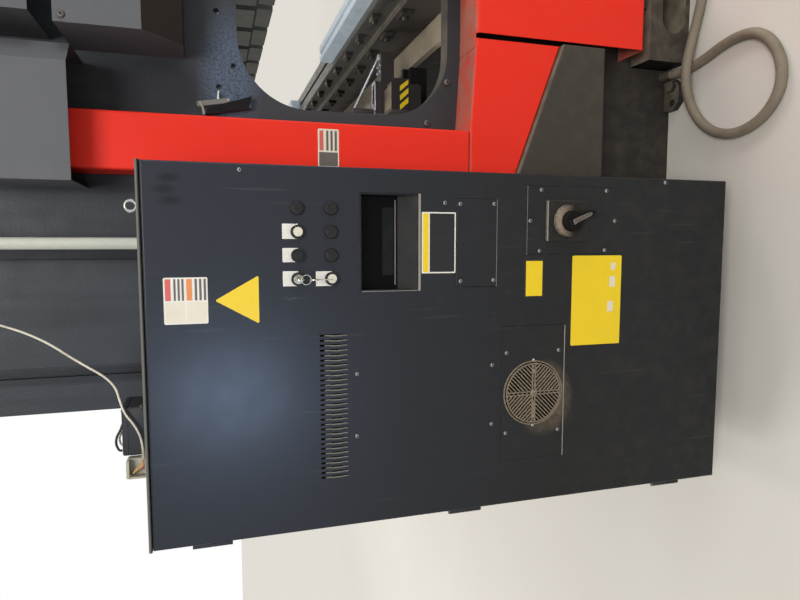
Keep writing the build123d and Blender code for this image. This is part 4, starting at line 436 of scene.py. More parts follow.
# The low colours of the frame, the cabinet and the door are painted shade; the table's is dust.
coat("frame_paint", FRAME, 0.42, fleck_and_sheen=(92, 102, 118), cell=0.006, gloss=0.15, low=(46, 42, 38), dust=0.08,
     chips=0.6, extra=frame_dirt_and_painted_light)
coat("table_paint", (52, 49, 46), 0.5, dust=0.2, settled=0.6, chips=0.8, low=(64, 57, 50), extra=painted_ledge_shade)
coat("ledge_paint", (186, 171, 149), 0.6, dust=0.3, settled=0.5, chips=0.5, tone=0.25)
coat("red_paint", (222, 47, 32), 0.42, gloss=0.12, tone=0.07, dust=0.05, settled=0.6, chips=0.3,
     chip=RED_UNDER)
coat("guard_paint", (64, 60, 54), 0.55, dust=0.08, settled=0.7, tone=0.06, gloss=0.12)
coat("cover_paint", (88, 89, 92), 0.5, tone=0.1, fleck_and_sheen=(110, 111, 115), settled=0.4, gloss=0.15,
     extra=painted_underside_shade)
coat("ram_paint", (74, 78, 82), 0.45, dust=0.2, fleck_and_sheen=(100, 106, 114))
coat("cylinder_paint", (70, 72, 75), 0.4, dust=0.25)
coat("gauge_paint", (46, 46, 47), 0.45, dust=0.2, settled=0.5, extra=painted_stand_shade)
# The crossbeam's tan top is settled dust, and partly painted light from above.
coat("gauge_aluminium", (46, 42, 42), 0.5, settled=0.75, chips=0.6, tone=0.15, gloss=0.12)
coat("cabinet_paint", (44, 47, 52), 0.36, tone=0.06, dust=0.05, chips=0.5, chip=RUBBED, settled=0.5,
     low=(40, 40, 39), gloss=0.15, extra=roof_dust_and_highlight)
coat("door_paint", (43, 46, 53), 0.28, tone=0.05, dust=0.04, chips=0.7, chip=RUBBED, low=(35, 36, 37),
     rise=(0.62, 1.25), gloss=0.15, extra=door_marks, haze=(-0.012, 0.016))
coat("tray_paint", (33, 35, 38), 0.45, tone=0.05, dust=0.05, chips=0.5, chip=RUBBED, gloss=0.1)
coat("hinge_steel", (44, 47, 51), 0.4, dust=0.2)
coat("pedal_paint", (204, 158, 34), 0.42, dust=0.3, chips=0.8, chip=(90, 84, 74))
coat("pendant_paint", (158, 160, 160), 0.42, tone=0.08)
coat("edge_paint", (108, 107, 102), 0.45, tone=0.3, chips=0.5)
coat("bare_and_lit_edge", (140, 137, 129), 0.45, tone=0.25, chips=0.5)
coat("lip_paint", (112, 110, 102), 0.45, tone=0.2, chips=0.6, chip=(160, 158, 148))
coat("dark_case", (40, 41, 44), 0.5, tone=0.1, settled=0.5)
coat("finger_head", (50, 44, 44), 0.45, tone=0.15, chips=0.8, chip=(170, 168, 160))
coat("dial_paint", (34, 31, 28), 0.45, gloss=0.12, extra=dial_marks)
steel("rod_chrome", (205, 205, 205), 0.12, stretch=(1, 1, 30), stain=0.1, metallic=1.0)
steel("pipe_steel", (150, 150, 148), 0.35, stretch=ALONG_X, stain=0.25)
steel("tool_steel", (188, 201, 209), 0.42, stretch=ALONG_X, stain=0.12, tarnish=(120, 124, 126), settled=0.05,
      metallic=0.25, depth=0.000006, edge=0.0004)
steel("holder_steel", (66, 68, 62), 0.45, stretch=ALONG_X, stain=0.4, metallic=0.5)
steel("clamp_steel", (66, 64, 60), 0.42, stain=0.4, line=0.004, edge=0.0015, settled=0.6)
steel("finger_steel", (70, 76, 84), 0.36, stretch=ALONG_X, stain=0.25, metallic=0.6)
steel("screw_steel", (168, 168, 165), 0.25, stretch=(1, 20, 1), stain=0.2, metallic=1.0)
steel("key_steel", (170, 165, 150), 0.3, line=0.001, stain=0.3, metallic=1.0)
steel("zinc", (152, 153, 146), 0.4, line=0.006, stain=0.3)
steel("rail_steel", (84, 82, 76), 0.4, stretch=ALONG_X, stain=0.4, metallic=0.6)
steel("polished_steel", (206, 208, 214), 0.22, stretch=ALONG_X, stain=0.06, metallic=0.9, settled=0.05)
steel("worn_screw", (132, 133, 132), 0.38, line=0.002, stain=0.2, metallic=0.6)
steel("dull_bolt", (96, 90, 88), 0.5, line=0.004, stain=0.5, metallic=0.4)
steel("plated_screw", (176, 174, 168), 0.32, line=0.002, stain=0.3)
plastic("black_plastic", (25, 24, 24), 0.42, dust=0.05, gloss=0.2)
plastic("white_plastic", (214, 208, 192), 0.3, tone=(150, 138, 112), dust=0.2)
plastic("guard_plastic", (104, 93, 77), 0.65, dust=0.8, tone=(158, 145, 122), top=0.6)
plastic("escutcheon", (25, 23, 22), 0.36, dust=0.08, gloss=0.25, edge=0.001, top=0.75)
plastic("conduit_grey", (188, 190, 178), 0.5, dust=0.3, grain=0.003, tone=(165, 160, 142))
plastic("gear_plastic", (150, 152, 150), 0.5, dust=0.2)
plastic("treadle_rubber", (34, 34, 34), 0.7, dust=0.5)
plastic("stop_red", (190, 26, 22), 0.28, dust=0.1)
plastic("beige_plastic", (168, 164, 146), 0.5, dust=0.4)
plastic("tan_wire", (196, 158, 112), 0.5, dust=0.3)
plastic("orange_wire", (196, 126, 72), 0.5, dust=0.3)
plastic("black_rubber", (32, 31, 30), 0.7, dust=0.3)
plastic("case_black", (15, 14, 14), 0.5, dust=0.03, gloss=0.1)
plastic("worn_and_lit_grip", (78, 73, 68), 0.4, dust=0.5, tone=(160, 150, 138), top=0.8)
plastic("key_grey", (120, 123, 126), 0.5, dust=0.1)
plastic("key_green", (62, 122, 72), 0.5, dust=0.1)
plastic("key_amber", (196, 140, 52), 0.5, dust=0.1)
sheath("white_cord", (206, 200, 184), 0.5, (150, 136, 112), 0.2)
sheath("grey_cord", (124, 113, 97), 0.62, (84, 76, 66), 0.35)
film("ink_black", (30, 30, 32))
film("foil_yellow", (226, 194, 30), wear=0.15)
film("foil_cream", (214, 206, 188))
film("foil_red", (198, 92, 84))
film("foil_orange", (214, 134, 74))
film("foil_grey", (96, 88, 84))
film("foil_white", (218, 215, 206))
glass("smoked_pane", (9, 10, 13))
glass("dim_display", (27, 30, 30), 0.2)
glass("screen_glass", (46, 58, 70), 0.1)
glass("oil_glass", (150, 112, 52), 0.1, 0.5)

OWN_FINISHES = {
    "cabinet_door": "door_paint",
    "access_panels": "door_paint",
    "die_rail": "rail_steel",
    "window_tray": "tray_paint",
    "ram_guides": "frame_paint",
}
for entry in frame["record"]["subparts"]:
    dressed = frame["nodes"][entry["node"]].data.materials
    dressed.clear()
    dressed.append(FINISHES[OWN_FINISHES.get(entry["node"], entry["material_slot"])])


# Cords

FLOOR_CORD = [
    (-1391, 243, 25), (-1424, 243, 25), (-1464, 244, 14), (-1538, 230, 14), (-1604, 209, 14),
    (-1665, 201, 14), (-1717, 209, 14), (-1763, 242, 14), (-1795, 298, 14), (-1802, 358, 14),
    (-1781, 406, 14), (-1738, 444, 14), (-1671, 464, 14), (-1598, 453, 14), (-1536, 413, 14),
    (-1507, 361, 26), (-1502, 306, 43), (-1501, 250, 46), (-1499, 196, 34), (-1499, 133, 17),
    (-1520, 57, 14), (-1526, -30, 14), (-1520, -110, 14), (-1509, -190, 16), (-1504, -258, 25),
    (-1504, -306, 25),
]
SIGNAL_CORD = [
    (-1677, 1216, 1550), (-1677, 1180, 1550), (-1678, 1143, 1564), (-1677, 1118, 1583), (-1673, 1090, 1592),
    (-1667, 1063, 1599), (-1659, 1040, 1620), (-1648, 1020, 1654), (-1634, 998, 1690), (-1616, 975, 1726),
    (-1594, 957, 1766), (-1567, 946, 1804), (-1536, 938, 1844), (-1502, 934, 1882), (-1468, 930, 1918),
    (-1436, 930, 1940), (-1401, 930, 1940),
]


def cord(name, node, route, radius, finish):
    """A cord as one smooth curve along its route."""
    curve = bpy.data.curves.new(name, "CURVE")
    curve.dimensions = "3D"
    spline = curve.splines.new("NURBS")
    spline.points.add(len(route) - 1)
    for point, place in zip(spline.points, route):
        point.co = (*at(*place), 1.0)
    spline.order_u = 3
    spline.use_endpoint_u = True
    spline.resolution_u = 10
    curve.bevel_depth = radius
    curve.bevel_resolution = 6
    curve.use_fill_caps = True
    curve.materials.append(FINISHES[finish])
    made = add(name, curve)
    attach(made, "frame")
    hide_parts(node)
    return made


floor_cord = cord("pedal_lead", "floor_cord", FLOOR_CORD, 0.014, "grey_cord")
signal_cord = cord("signal_lead", "signal_cord", SIGNAL_CORD, 0.0022, "white_cord")


# Outlines and shapes

PLACED = {
    "x": lambda a, b, level: (level, a, b),
    "y": lambda a, b, level: (a, level, b),
    "z": lambda a, b, level: (a, b, level),
}
ASKEW = (0.31, 0.2, 0.93)
SHARP_ANGLE = math.radians(40)
CIRCLE_SIDES = 64
ARC_STEPS = 6


def turns(sides):
    """Angles evenly round a circle."""
    return [2 * math.pi * i / sides for i in range(sides)]


class Shape:
    """A mesh under construction in the machine's millimetres. Each part of it names one of its materials."""

    def __init__(self):
        self.mesh = bmesh.new()

    def skin(self, rings, index=0, closed=True):
        """Faces between rings of points, and a cap on each end. Not closed, the last ring joins the first."""
        made = [[self.mesh.verts.new(at(*point)) for point in ring] for ring in rings]
        faces = []
        for near, far in zip(made, made[1:] if closed else [*made[1:], made[0]]):
            for i in range(len(near)):
                j = (i + 1) % len(near)
                faces.append(self.mesh.faces.new((near[i], near[j], far[j], far[i])))
        if closed:
            faces.append(self.mesh.faces.new(made[0][::-1]))
            faces.append(self.mesh.faces.new(made[-1]))
        for face in faces:
            face.material_index = index
        return self

    def lathe(self, profile, place, axis, sides=24, index=0):
        """A turned shape. The profile gives (distance along the axis, radius) from the place."""
        place, axis = Vector(place), Vector(axis).normalized()
        first = axis.orthogonal().normalized()
        second = axis.cross(first)
        rings = [
            [place + axis * along + first * (radius * math.cos(t)) + second * (radius * math.sin(t))
             for t in turns(sides)]
            for along, radius in profile
        ]
        return self.skin(rings, index)

    def plate(self, outline, back, front, index=0, bevel=0.0, axis="x"):
        """A flat plate across an axis from its outline in the other two, with its front edge broken."""
        put = PLACED[axis]
        middle = [sum(point[i] for point in outline) / len(outline) for i in (0, 1)]
        step = math.copysign(bevel, back - front)
        rings = [[put(*p, back) for p in outline], [put(*p, front + step) for p in outline]]
        if bevel:
            inner = [(p, 1 - bevel / math.dist(p, middle)) for p in outline]
            rings.append([put(*[m + (c - m) * share for m, c in zip(middle, p)], front)
                          for p, share in inner])
        return self.skin(rings, index)

    def slab(self, ys, zs, radius, back, front, index=0, bevel=0.0, axis="x", steps=4):
        """A rectangular plate with round corners."""
        return self.plate(rounded(ys, zs, radius, steps), back, front, index, bevel, axis)

    def hoop(self, outer, inner, back, front, index=0, axis="x"):
        """A flat plate with an opening. Both outlines have as many points."""
        put = PLACED[axis]
        rings = [[put(*p, level) for p in line] for line, level in
                 ((outer, back), (outer, front), (inner, front), (inner, back))]
        return self.skin(rings, index, closed=False)

    def bar(self, start, end, width, back, front, index=0):
        """A straight flat bar between two places on a plane across X."""
        along = (Vector(end) - Vector(start)).normalized() * (width / 2)
        side = Vector((-along.y, along.x))
        corners = [Vector(start) + side, Vector(start) - side, Vector(end) - side, Vector(end) + side]
        return self.plate([tuple(corner) for corner in corners], back, front, index)

    def wire(self, route, radius, sides=10, index=0):
        """A round wire through the points."""
        rings = []
        points = [Vector(p) for p in route]
        for i, point in enumerate(points):
            ahead = (points[min(i + 1, len(points) - 1)] - points[max(i - 1, 0)]).normalized()
            first = ahead.cross(Vector(ASKEW)).normalized()
            second = ahead.cross(first)
            rings.append([point + first * (radius * math.cos(t)) + second * (radius * math.sin(t))
                          for t in turns(sides)])
        return self.skin(rings, index)

    def finish(self, name, body, slot, *finishes):
        """The piece on its body. Without finishes it takes its slot's."""
        bmesh.ops.recalc_face_normals(self.mesh, faces=self.mesh.faces)
        data = bpy.data.meshes.new(name)
        self.mesh.to_mesh(data)
        self.mesh.free()
        for finish in finishes or [slot]:
            data.materials.append(FINISHES[finish])
        made = add(name, data)
        data.shade_smooth()
        data.set_sharp_from_angle(angle=SHARP_ANGLE)
        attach(made, body)
        return made


def rounded(ys, zs, radius, steps=4):
    """The outline of a rectangle with round corners."""
    corners = ((ys[1], zs[1], 0), (ys[0], zs[1], 1), (ys[0], zs[0], 2), (ys[1], zs[0], 3))
    outline = []
    for y, z, quarter in corners:
        centre_y = y - math.copysign(radius, y - sum(ys) / 2)
        centre_z = z - math.copysign(radius, z - sum(zs) / 2)
        for i in range(steps + 1):
            turn = math.pi / 2 * (quarter + i / steps)
            outline.append((centre_y + radius * math.cos(turn), centre_z + radius * math.sin(turn)))
    return outline


def circle(centre, radius):
    """The outline of a circle."""
    return [(centre[0] + radius * math.cos(t), centre[1] + radius * math.sin(t)) for t in turns(CIRCLE_SIDES)]


def arc(points):
    """A smooth curve through the points."""
    points = [Vector(p) for p in points]
    ends = [points[0] * 2 - points[1], *points, points[-1] * 2 - points[-2]]
    route = []
    for a, b, c, d in zip(ends, ends[1:], ends[2:], ends[3:]):
        for i in range(ARC_STEPS):
            t = i / ARC_STEPS
            route.append(0.5 * (2 * b + (c - a) * t + (2 * a - 5 * b + 4 * c - d) * t * t +
                                (3 * b - 3 * c + d - a) * t ** 3))
    return route + [points[-1]]


# Plates on the door and the strip

FOIL = 0.4
PRINT = 0.12


def label(name, outline, fields, *finishes, face=DOOR, body="door", slot="escutcheon"):
    """A foil plate on a face across X, in its first finish, with plain colour fields on it."""
    made = Shape().plate(outline, face, face - FOIL, bevel=0.15)
    for ys, zs, index in fields:
        made.slab(ys, zs, 0.8, face - FOIL, face - FOIL - PRINT, index, steps=2)
    made.finish(name, body, slot, *finishes)


def rows(ys, zs, count, index, share=0.55):
    """Colour bars one above the other, as many as named, in a field of the plate."""
    pitch = (zs[1] - zs[0]) / count
    return [(ys, (zs[0] + pitch * i, zs[0] + pitch * (i + share)), index) for i in range(count)]


PICTURES, WORDS = (883, 925), (836, 880)
label("upper_plate", rounded((833, 928), (1411, 1496), 3),
      [(PICTURES, (1456, 1493), 1), (PICTURES, (1414, 1452), 1), (WORDS, (1482, 1493), 2),
       *rows(WORDS, (1457, 1480), 3, 3), (WORDS, (1441, 1452), 4), *rows(WORDS, (1414, 1440), 3, 3)],
      "foil_white", "foil_cream", "foil_red", "foil_grey", "foil_orange")
label("triangle_plate", [(832.5, 1312), (834.5, 1309), (928.5, 1309), (930.5, 1312), (883, 1395),
                         (880, 1395)], [], "foil_yellow")
label("lower_plate", rounded((694, 832), (867, 949), 2),
      [((697, 829), (933, 946), 1), ((697, 829), (870, 930), 2)], "foil_white", "foil_yellow", "ink_black")
label("small_plate", rounded((802, 894), (638, 690), 4), [((806, 890), (642, 686), 1)],
      "ink_black", "foil_yellow")
label("wide_plate", rounded((794, 1016), (419, 560), 3),
      [((908, 934), (441, 457), 1), ((846, 872), (437, 453), 1), ((812, 830), (437, 450), 1)],
      "foil_yellow", "foil_cream")
label("strip_plate", rounded((480, 574), (1089, 1142), 3),
      [((537, 571), (1092, 1139), 1), *rows((484, 533), (1094, 1126), 3, 1), ((484, 533), (1128, 1138), 2)],
      "foil_cream", "foil_grey", "foil_red", face=STRIP_FACE, body="frame", slot="red_paint")
NAME_PLATES = (((823, 855), (1226, 1259)), ((774, 804), (1226, 1259)), ((723, 755), (1226, 1259)),
               ((824, 856), (1154, 1189)))
for number, (ys, zs) in enumerate(NAME_PLATES):
    label(f"name_plate_{number + 1}", rounded(ys, zs, 1.5), [], "foil_white")


# Screws and bolts, also on the sides that the photograph doesn't show

ROUND_HEAD = ((0, 1), (0.35, 1), (0.62, 0.78), (0.72, 0.5))
FLAT_HEAD = ((0, 1), (0.6, 1), (0.72, 0.86))
RECESS = 0.45


def heads(name, body, slot, finish, radius, way, places, profile, sunk, tall):
    """Screw heads with a hexagon recess, all facing one way. Their profile is in shares of the radius."""
    made = Shape()
    for place in places:
        made.lathe([(along * radius, share * radius) for along, share in profile], place, way, 20)
        floor = Vector(place) + Vector(way) * (radius * sunk)
        made.lathe([(0, radius * RECESS), (tall, radius * RECESS)], floor, way, 6, 1)
    made.finish(name, body, slot, finish, "ink_black")


PANEL_SCREW, PLATE_BOLT, COVER_BOLT = 4.8, 9.0, 8.0
for name, body, finish, radius, face, places in (
    ("fan_panel_screws", "door", "worn_screw", PANEL_SCREW, PANEL,
     [(1221, 735), (1025, 735), (1224, 592), (1025, 594)]),
    ("door_face_screws", "door", "worn_screw", PANEL_SCREW, DOOR,
     [(1195, 772), (1052, 772), (1194, 1101), (1053, 1100), (615, 1343), (611, 296)]),
    ("switch_panel_screws", "door", "worn_screw", PANEL_SCREW, PANEL,
     [(782, 652), (711, 678), (638, 650), (781, 471), (709, 444), (636, 470)]),
    ("blank_panel_screws", "door", "worn_screw", PANEL_SCREW, PANEL,
     [(851, 855), (675, 857), (850, 772), (673, 772)]),
    ("blank_face_screw", "door", "worn_screw", PANEL_SCREW, DOOR, [(673, 894)]),
    ("frame_plate_bolts", "frame", "dull_bolt", PLATE_BOLT, PLATE_FACE,
     [(428, 816), (313, 757), (481, 1276)]),
    ("ram_cover_bolt", "frame", "dull_bolt", COVER_BOLT, COVER_FACE, [(293, 1686)]),
):
    heads(name, body, "zinc", finish, radius, LEFT, [(face, y, z) for y, z in places],
          ROUND_HEAD, 0.71, 0.05 * radius)

HOLDER_MIDDLES = [-1300.0 + 200 * i for i in range(14)]
CYLINDER_MIDDLE, CYLINDER_CIRCLE, CYLINDER_TOP = 1358, 84, 2130
TWELFTHS = [math.pi * (i + 0.5) / 6 for i in range(12)]
for name, body, slot, finish, radius, way, places in (
    ("holder_screws", "ram", "holder_steel", "plated_screw", 9.0, FORWARD,
     [(x + dx, -30, 1290) for x in HOLDER_MIDDLES for dx in (-48, 48)]),
    ("rail_screws", "frame", "clamp_steel", "dull_bolt", 7.0, FORWARD,
     [(-1350 + 100 * i, -50, 884) for i in range(28)]),
    ("skirt_screws", "frame", "red_paint", "plated_screw", 7.0, FORWARD,
     [(-1400 + 350 * i, -130, z) for i in range(9) for z in (215, 697)]),
    ("right_plate_bolts", "frame", "zinc", "dull_bolt", 12.0, RIGHT,
     [(1383, y, z) for y, z in ((428, 816), (313, 757), (481, 1276), (610, 1890), (690, 1890), (610, 1960),
                                (690, 1960), (975, 1890), (1050, 1890), (975, 1960), (1050, 1960))]),
    ("head_screws", "frame", "cover_paint", "dull_bolt", 5.0, RIGHT,
     [(1575, y, z) for y in (425, 590) for z in (1710, 2090)]),
    ("cylinder_bolts", "frame", "cylinder_paint", "dull_bolt", 8.0, UP,
     [(side * CYLINDER_MIDDLE + CYLINDER_CIRCLE * math.cos(t), CYLINDER_CIRCLE * math.sin(t), CYLINDER_TOP)
      for side in (-1, 1) for t in TWELFTHS]),
    ("lid_bolts", "frame", "cylinder_paint", "plated_screw", 6.5, UP,
     [(-420 + 120 * i, y, TANK_LID) for i in range(8) for y in (597, 1063)]),
):
    heads(name, body, slot, finish, radius, way, places, FLAT_HEAD, 0.72, 0.3)


# Window, vent and panels of the door

WINDOW_BACK = -1692.0
VENT_SLOTS, VENT_START, VENT_PITCH = 30, 965.0, 10.95
LOUVRE_PARTS = ((1121.5, 1133.5, 0.7), (1133.5, 1146, 1.5), (1146, 1158.5, 1.4), (1158.5, 1172, 0.5))


def window():
    """The smoked pane in its black frame, a dim display behind it, and the lip at its foot."""
    back = WINDOW_BACK
    made = Shape().slab((654, 868), (986, 1086), 2, back, back - 2, 0, 0.5)
    made.slab((667, 859), (1004, 1081), 1, back - 2, back - 3, 0, 0.4)
    made.slab((684, 836), (1006, 1032), 1, back - 3, back - 3.2, 1)
    made.slab((686, 790), (1036, 1068), 1, back - 3, back - 3.2)
    made.slab((667, 859), (1000.5, 1003), 0.8, back - 2, back - 4, 2, 0.3, steps=2)
    made.finish("window_pane", "door", "black_plastic", "smoked_pane", "dim_display", "edge_paint")


def window_lips():
    """Pale strips at the foot and the left of the opening: a painted highlight where the sheet's edges catch
    the light.
    """
    made = Shape().slab((654, 871), (951.5, 956.8), 0.8, DOOR + 1, DOOR - 0.5, 0, 0.3, steps=2)
    made.slab((868.8, 871), (957, 1089), 0.6, DOOR + 1, DOOR - 0.3, 1, 0.15, steps=2)
    made.finish("window_lips", "door", "cabinet_paint", "bare_and_lit_edge", "edge_paint")


def vent_lips():
    """The raised lip of each louvre, painted pale where it stands out: a painted highlight."""
    made = Shape()
    for i in range(VENT_SLOTS):
        middle = VENT_START + VENT_PITCH * i
        for low, high, bow in LOUVRE_PARTS:
            near, far = middle - 2.2 + bow, middle + 0.1 + bow
            outline = [(near, low), (far, low), (far, high), (near, high)]
            made.plate(outline, DOOR + 1.2, DOOR - 0.4 - 0.5 * bow, bevel=0.25)
    made.finish("vent_lips", "door", "cabinet_paint", "lip_paint")


def panel_lips():
    """The rubbed edges of the screwed-on panels."""
    made = Shape()
    for ys, zs, index in (((962, 1291), (576, 578.2), 0), ((663, 865), (763, 764.6), 1),
                          ((629, 791), (684.6, 686), 1), ((865.2, 866.6), (764, 865), 2),
                          ((962, 963.2), (576, 660), 2), ((962, 1291), (746, 747), 2)):
        made.slab(ys, zs, 0.4, PANEL + 0.5, PANEL - 0.25, index, 0.12, steps=2)
    made.finish("panel_lips", "door", "cabinet_paint", "bare_and_lit_edge", "edge_paint", "tray_paint")


GUARD_RADIUS, GUARD_INNER = 79.5, 76.4
HOOP_RADIUS, HOOP_WIDTH = 73.6, 2.6
CROSS_ARM = 5.6
RUNG_START, RUNG_PITCH, RUNGS = 18, 12, 5
SLANT_PITCH, SLANTS, SHORTEST_SLANT = 7.4, 6, 4
STRAIGHT_WAYS = ((1, 0), (-1, 0), (0, 1), (0, -1))
SLANT_WAYS = ((1, 1), (-1, 1), (-1, -1), (1, -1))


def fan_grille():
    """The fan's round guard: a rim, and before it a hoop, a cross of double bars, a hub and slanting bars."""
    made = Shape()
    mid_y, mid_z = FAN
    back, front = PANEL - 2.0, PANEL - 5.0
    made.hoop(circle(FAN, GUARD_RADIUS), circle(FAN, GUARD_INNER), PANEL, PANEL - 2.4)
    made.hoop(circle(FAN, HOOP_RADIUS), circle(FAN, HOOP_RADIUS - HOOP_WIDTH), back, front)
    made.lathe([(0, 8.6), (3.6, 8.6), (5.0, 7.2), (5.4, 3.0)], (back, *FAN), LEFT, 32)
    made.lathe([(0, 5.6), (3.8, 5.6), (4.4, 4.8)], (back, mid_y - 53, mid_z), LEFT)
    for way_y, way_z in STRAIGHT_WAYS:
        for side in (-1, 1):
            shift_y, shift_z = side * CROSS_ARM * 0.62 * way_z, side * CROSS_ARM * 0.62 * way_y
            start, end = [(mid_y + far * way_y + shift_y, mid_z + far * way_z + shift_z)
                          for far in (6, HOOP_RADIUS - 2)]
            made.bar(start, end, 2.6, back, front - 0.6)
        for step in range(RUNGS):
            along = RUNG_START + RUNG_PITCH * step
            centre = Vector((mid_y + along * way_y, mid_z + along * way_z))
            half = Vector((way_z, way_y)) * CROSS_ARM * 0.6
            made.bar(tuple(centre - half), tuple(centre + half), 2.0, back, front)
    made.bar((mid_y + 20, mid_z), (mid_y + 62, mid_z), 6.4, back + 0.2, front - 0.9)
    for way_y, way_z in SLANT_WAYS:
        for step in range(-SLANTS, SLANTS + 1):
            aside = SLANT_PITCH * step
            near = CROSS_ARM * 1.3 + abs(aside)
            far = math.sqrt((HOOP_RADIUS - 1.5) ** 2 - aside ** 2)
            if far - near < SHORTEST_SLANT:
                continue
            start, end = [(mid_y + way_y * (along - aside) / math.sqrt(2),
                           mid_z + way_z * (along + aside) / math.sqrt(2)) for along in (near, far)]
            made.bar(start, end, 2.7, back + 0.3, front + 0.4)
    for side in (-1, 1):
        made.lathe([(0, 3.6), (1.4, 3.4), (2.2, 2.2)], (PANEL - 0.1, mid_y + side * 80.5, mid_z), LEFT, 18, 1)
    piece = made.finish("fan_grille", "door", "guard_plastic", "guard_plastic", "plated_screw")
    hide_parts("fan_guard")


def main_switch():
    """The main switch's worn dial and bare plate edges, and its lever with a pale grip, worn and painted
    lighter as a highlight on its lit side.
    """
    y, z = SWITCH
    dial, plate, seat = SWITCH_DIAL, SWITCH_DIAL + 11, LEVER_SEAT
    made = Shape()
    made.hoop(circle(SWITCH, 37.5), circle(SWITCH, 25), dial, dial - 0.8)
    made.bar((y - 47, z + 56.5), (y + 47, z + 56.5), 3.4, plate, plate - 1, 1)
    made.bar((y - 48, z + 55), (y - 48, z - 55), 2.4, plate, plate - 1, 2)
    made.finish("main_switch_dial", "door", "escutcheon", "dial_paint", "bare_and_lit_edge", "hinge_steel")
    lean = math.radians(24)
    lever = [(-8.5, 20), (8.5, 20), (7.6, -20), (6.5, -48), (4, -54), (-4, -54), (-6.5, -48), (-7.6, -20)]
    pale_area = [(-7, 12), (5, 12), (5, -20), (4, -38), (2, -43), (-3, -43), (-5, -38), (-6, -20)]
    lever, pale_area = [[(y + a * math.cos(lean) + b * math.sin(lean), z - a * math.sin(lean) + b * math.cos(lean))
                    for a, b in line] for line in (lever, pale_area)]
    grip = Shape()
    grip.lathe([(0, 24), (12, 24), (15, 22.5), (16, 19)], (seat, y, z), LEFT, 40)
    grip.lathe([(16, 5), (17.5, 4)], (seat, y, z), LEFT, 16, 2)
    grip.plate(lever, seat, seat - 29, 0, bevel=4)
    # The pale part of the grip: worn, and a painted highlight on its lit side.
    grip.plate(pale_area, seat - 28, seat - 30, 1, bevel=1.5)
    piece = grip.finish("main_switch_lever", "disconnect", "black_plastic", "case_black", "worn_and_lit_grip",
                        "plated_screw")
    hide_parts("disconnect_handle")


window()
window_lips()
vent_lips()
panel_lips()
fan_grille()
main_switch()


# On the roof

CASE_XS, CASE_YS, CASE_TOP = (-1668, -1568), (1106, 1211), ROOF + 50
GLAND_XS, GLAND_YS = (-1690, -1648), (1216, 1254)


def roof_boxes():
    """The dark case with its lid, the open gland box with its wires, and the cord's clip on the frame."""
    made = Shape()
    made.slab(CASE_XS, CASE_YS, 5, ROOF, ROOF + 37, 0, 0.5, "z")
    made.slab((-1666.5, -1569.5), (1107.5, 1209.5), 4, ROOF + 37, ROOF + 38.5, 4, 0, "z")
    made.slab(CASE_XS, CASE_YS, 5, ROOF + 38.5, CASE_TOP, 0, 2.5, "z")
    for x in (-1658, -1578):
        for y in (1116, 1201):
            made.lathe([(0, 3.4), (1.4, 3.4), (2.0, 2.2)], (x, y, CASE_TOP), UP, 16, 5)
    made.slab(GLAND_XS, GLAND_YS, 4, ROOF, ROOF + 5, 1, 0.5, "z")
    made.slab((-1670, -1648), GLAND_YS, 3, ROOF + 5, ROOF + 36, 1, 0.5, "z")
    made.slab(GLAND_XS, GLAND_YS, 4, ROOF + 36, ROOF + 42, 1, 1.2, "z")
    made.slab((-1690, -1670), (1250, 1254), 1.5, ROOF + 5, ROOF + 36, 1, 0, "z")
    for i, z in enumerate((30, 25, 20, 15)):
        route = [(-1670, 1247 - 3 * i, z), (-1683, 1244 - 3 * i, z - 1), (-1688, 1236 - 3 * i, z - 6),
                 (-1684, 1226 - i, 12 - i), (-1678, 1219, 9)]
        made.wire(arc([(x, y, ROOF + rise) for x, y, rise in route]), 1.7, 8, 2 + i % 2)
    made.slab((919, 941), (1927, 1953), 3, PLATE_FACE, PLATE_FACE - 18, 1, 1.5)
    piece = made.finish("roof_boxes", "frame", "zinc", "dark_case", "beige_plastic", "tan_wire",
                        "orange_wire", "ink_black", "plated_screw")
    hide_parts("junction_box")


def roof_handle():
    """The loose looped strap on the case: a black band with a white core, held by studs."""
    made = Shape()
    band = [(-1640, 1206, 2), (-1642, 1204, 10), (-1645, 1190, 15), (-1648, 1174, 13), (-1650, 1158, 5),
            (-1650, 1150, 2)]
    core = [(-1632, 1200, 2), (-1634, 1192, 8), (-1638, 1178, 9), (-1642, 1164, 3)]
    for route, radius, index in ((band, 2.6, 0), (core, 2.2, 1)):
        made.wire(arc([(x, y, CASE_TOP + rise) for x, y, rise in route]), radius, 10, index)
    for x, y in ((-1640, 1206), (-1650, 1150)):
        made.lathe([(0, 5), (2.5, 5), (3.5, 3.6)], (x, y, CASE_TOP), UP, 16)
    made.finish("roof_handle", "frame", "black_plastic", "black_rubber", "foil_white")


def roof_plug():
    """The small black plug with a pale foot at the case's corner."""
    made = Shape()
    made.lathe([(0, 8), (4, 8), (5, 6.5)], (-1674, 1122, ROOF), UP, 20, 1)
    made.lathe([(0, 6), (4, 6.5), (9, 6.5), (11, 4.5)], (-1674, 1110, ROOF + 6), (0, -1, 0.1), 20)
    made.lathe([(0, 3), (8, 3)], (-1674, 1118, ROOF + 6), FORWARD, 12)
    made.finish("roof_plug", "frame", "black_plastic", "black_rubber", "foil_white")


roof_boxes()
roof_handle()
roof_plug()


# Cord boots

BOOT_GROOVES = 4


def boot(name, place, axis, radii, length, finish):
    """A tapered strain relief with shallow grooves round a cord."""
    steps = 2 * BOOT_GROOVES + 1
    profile = []
    for i in range(steps + 1):
        radius = radii[0] + (radii[1] - radii[0]) * i / steps - (0.8 if i % 2 else 0.0)
        profile += [(length / steps * i, radius), (length / steps * (i + 0.8), radius)]
    Shape().lathe(profile[:-1], place, axis, 28).finish(name, "frame", "black_plastic", finish)


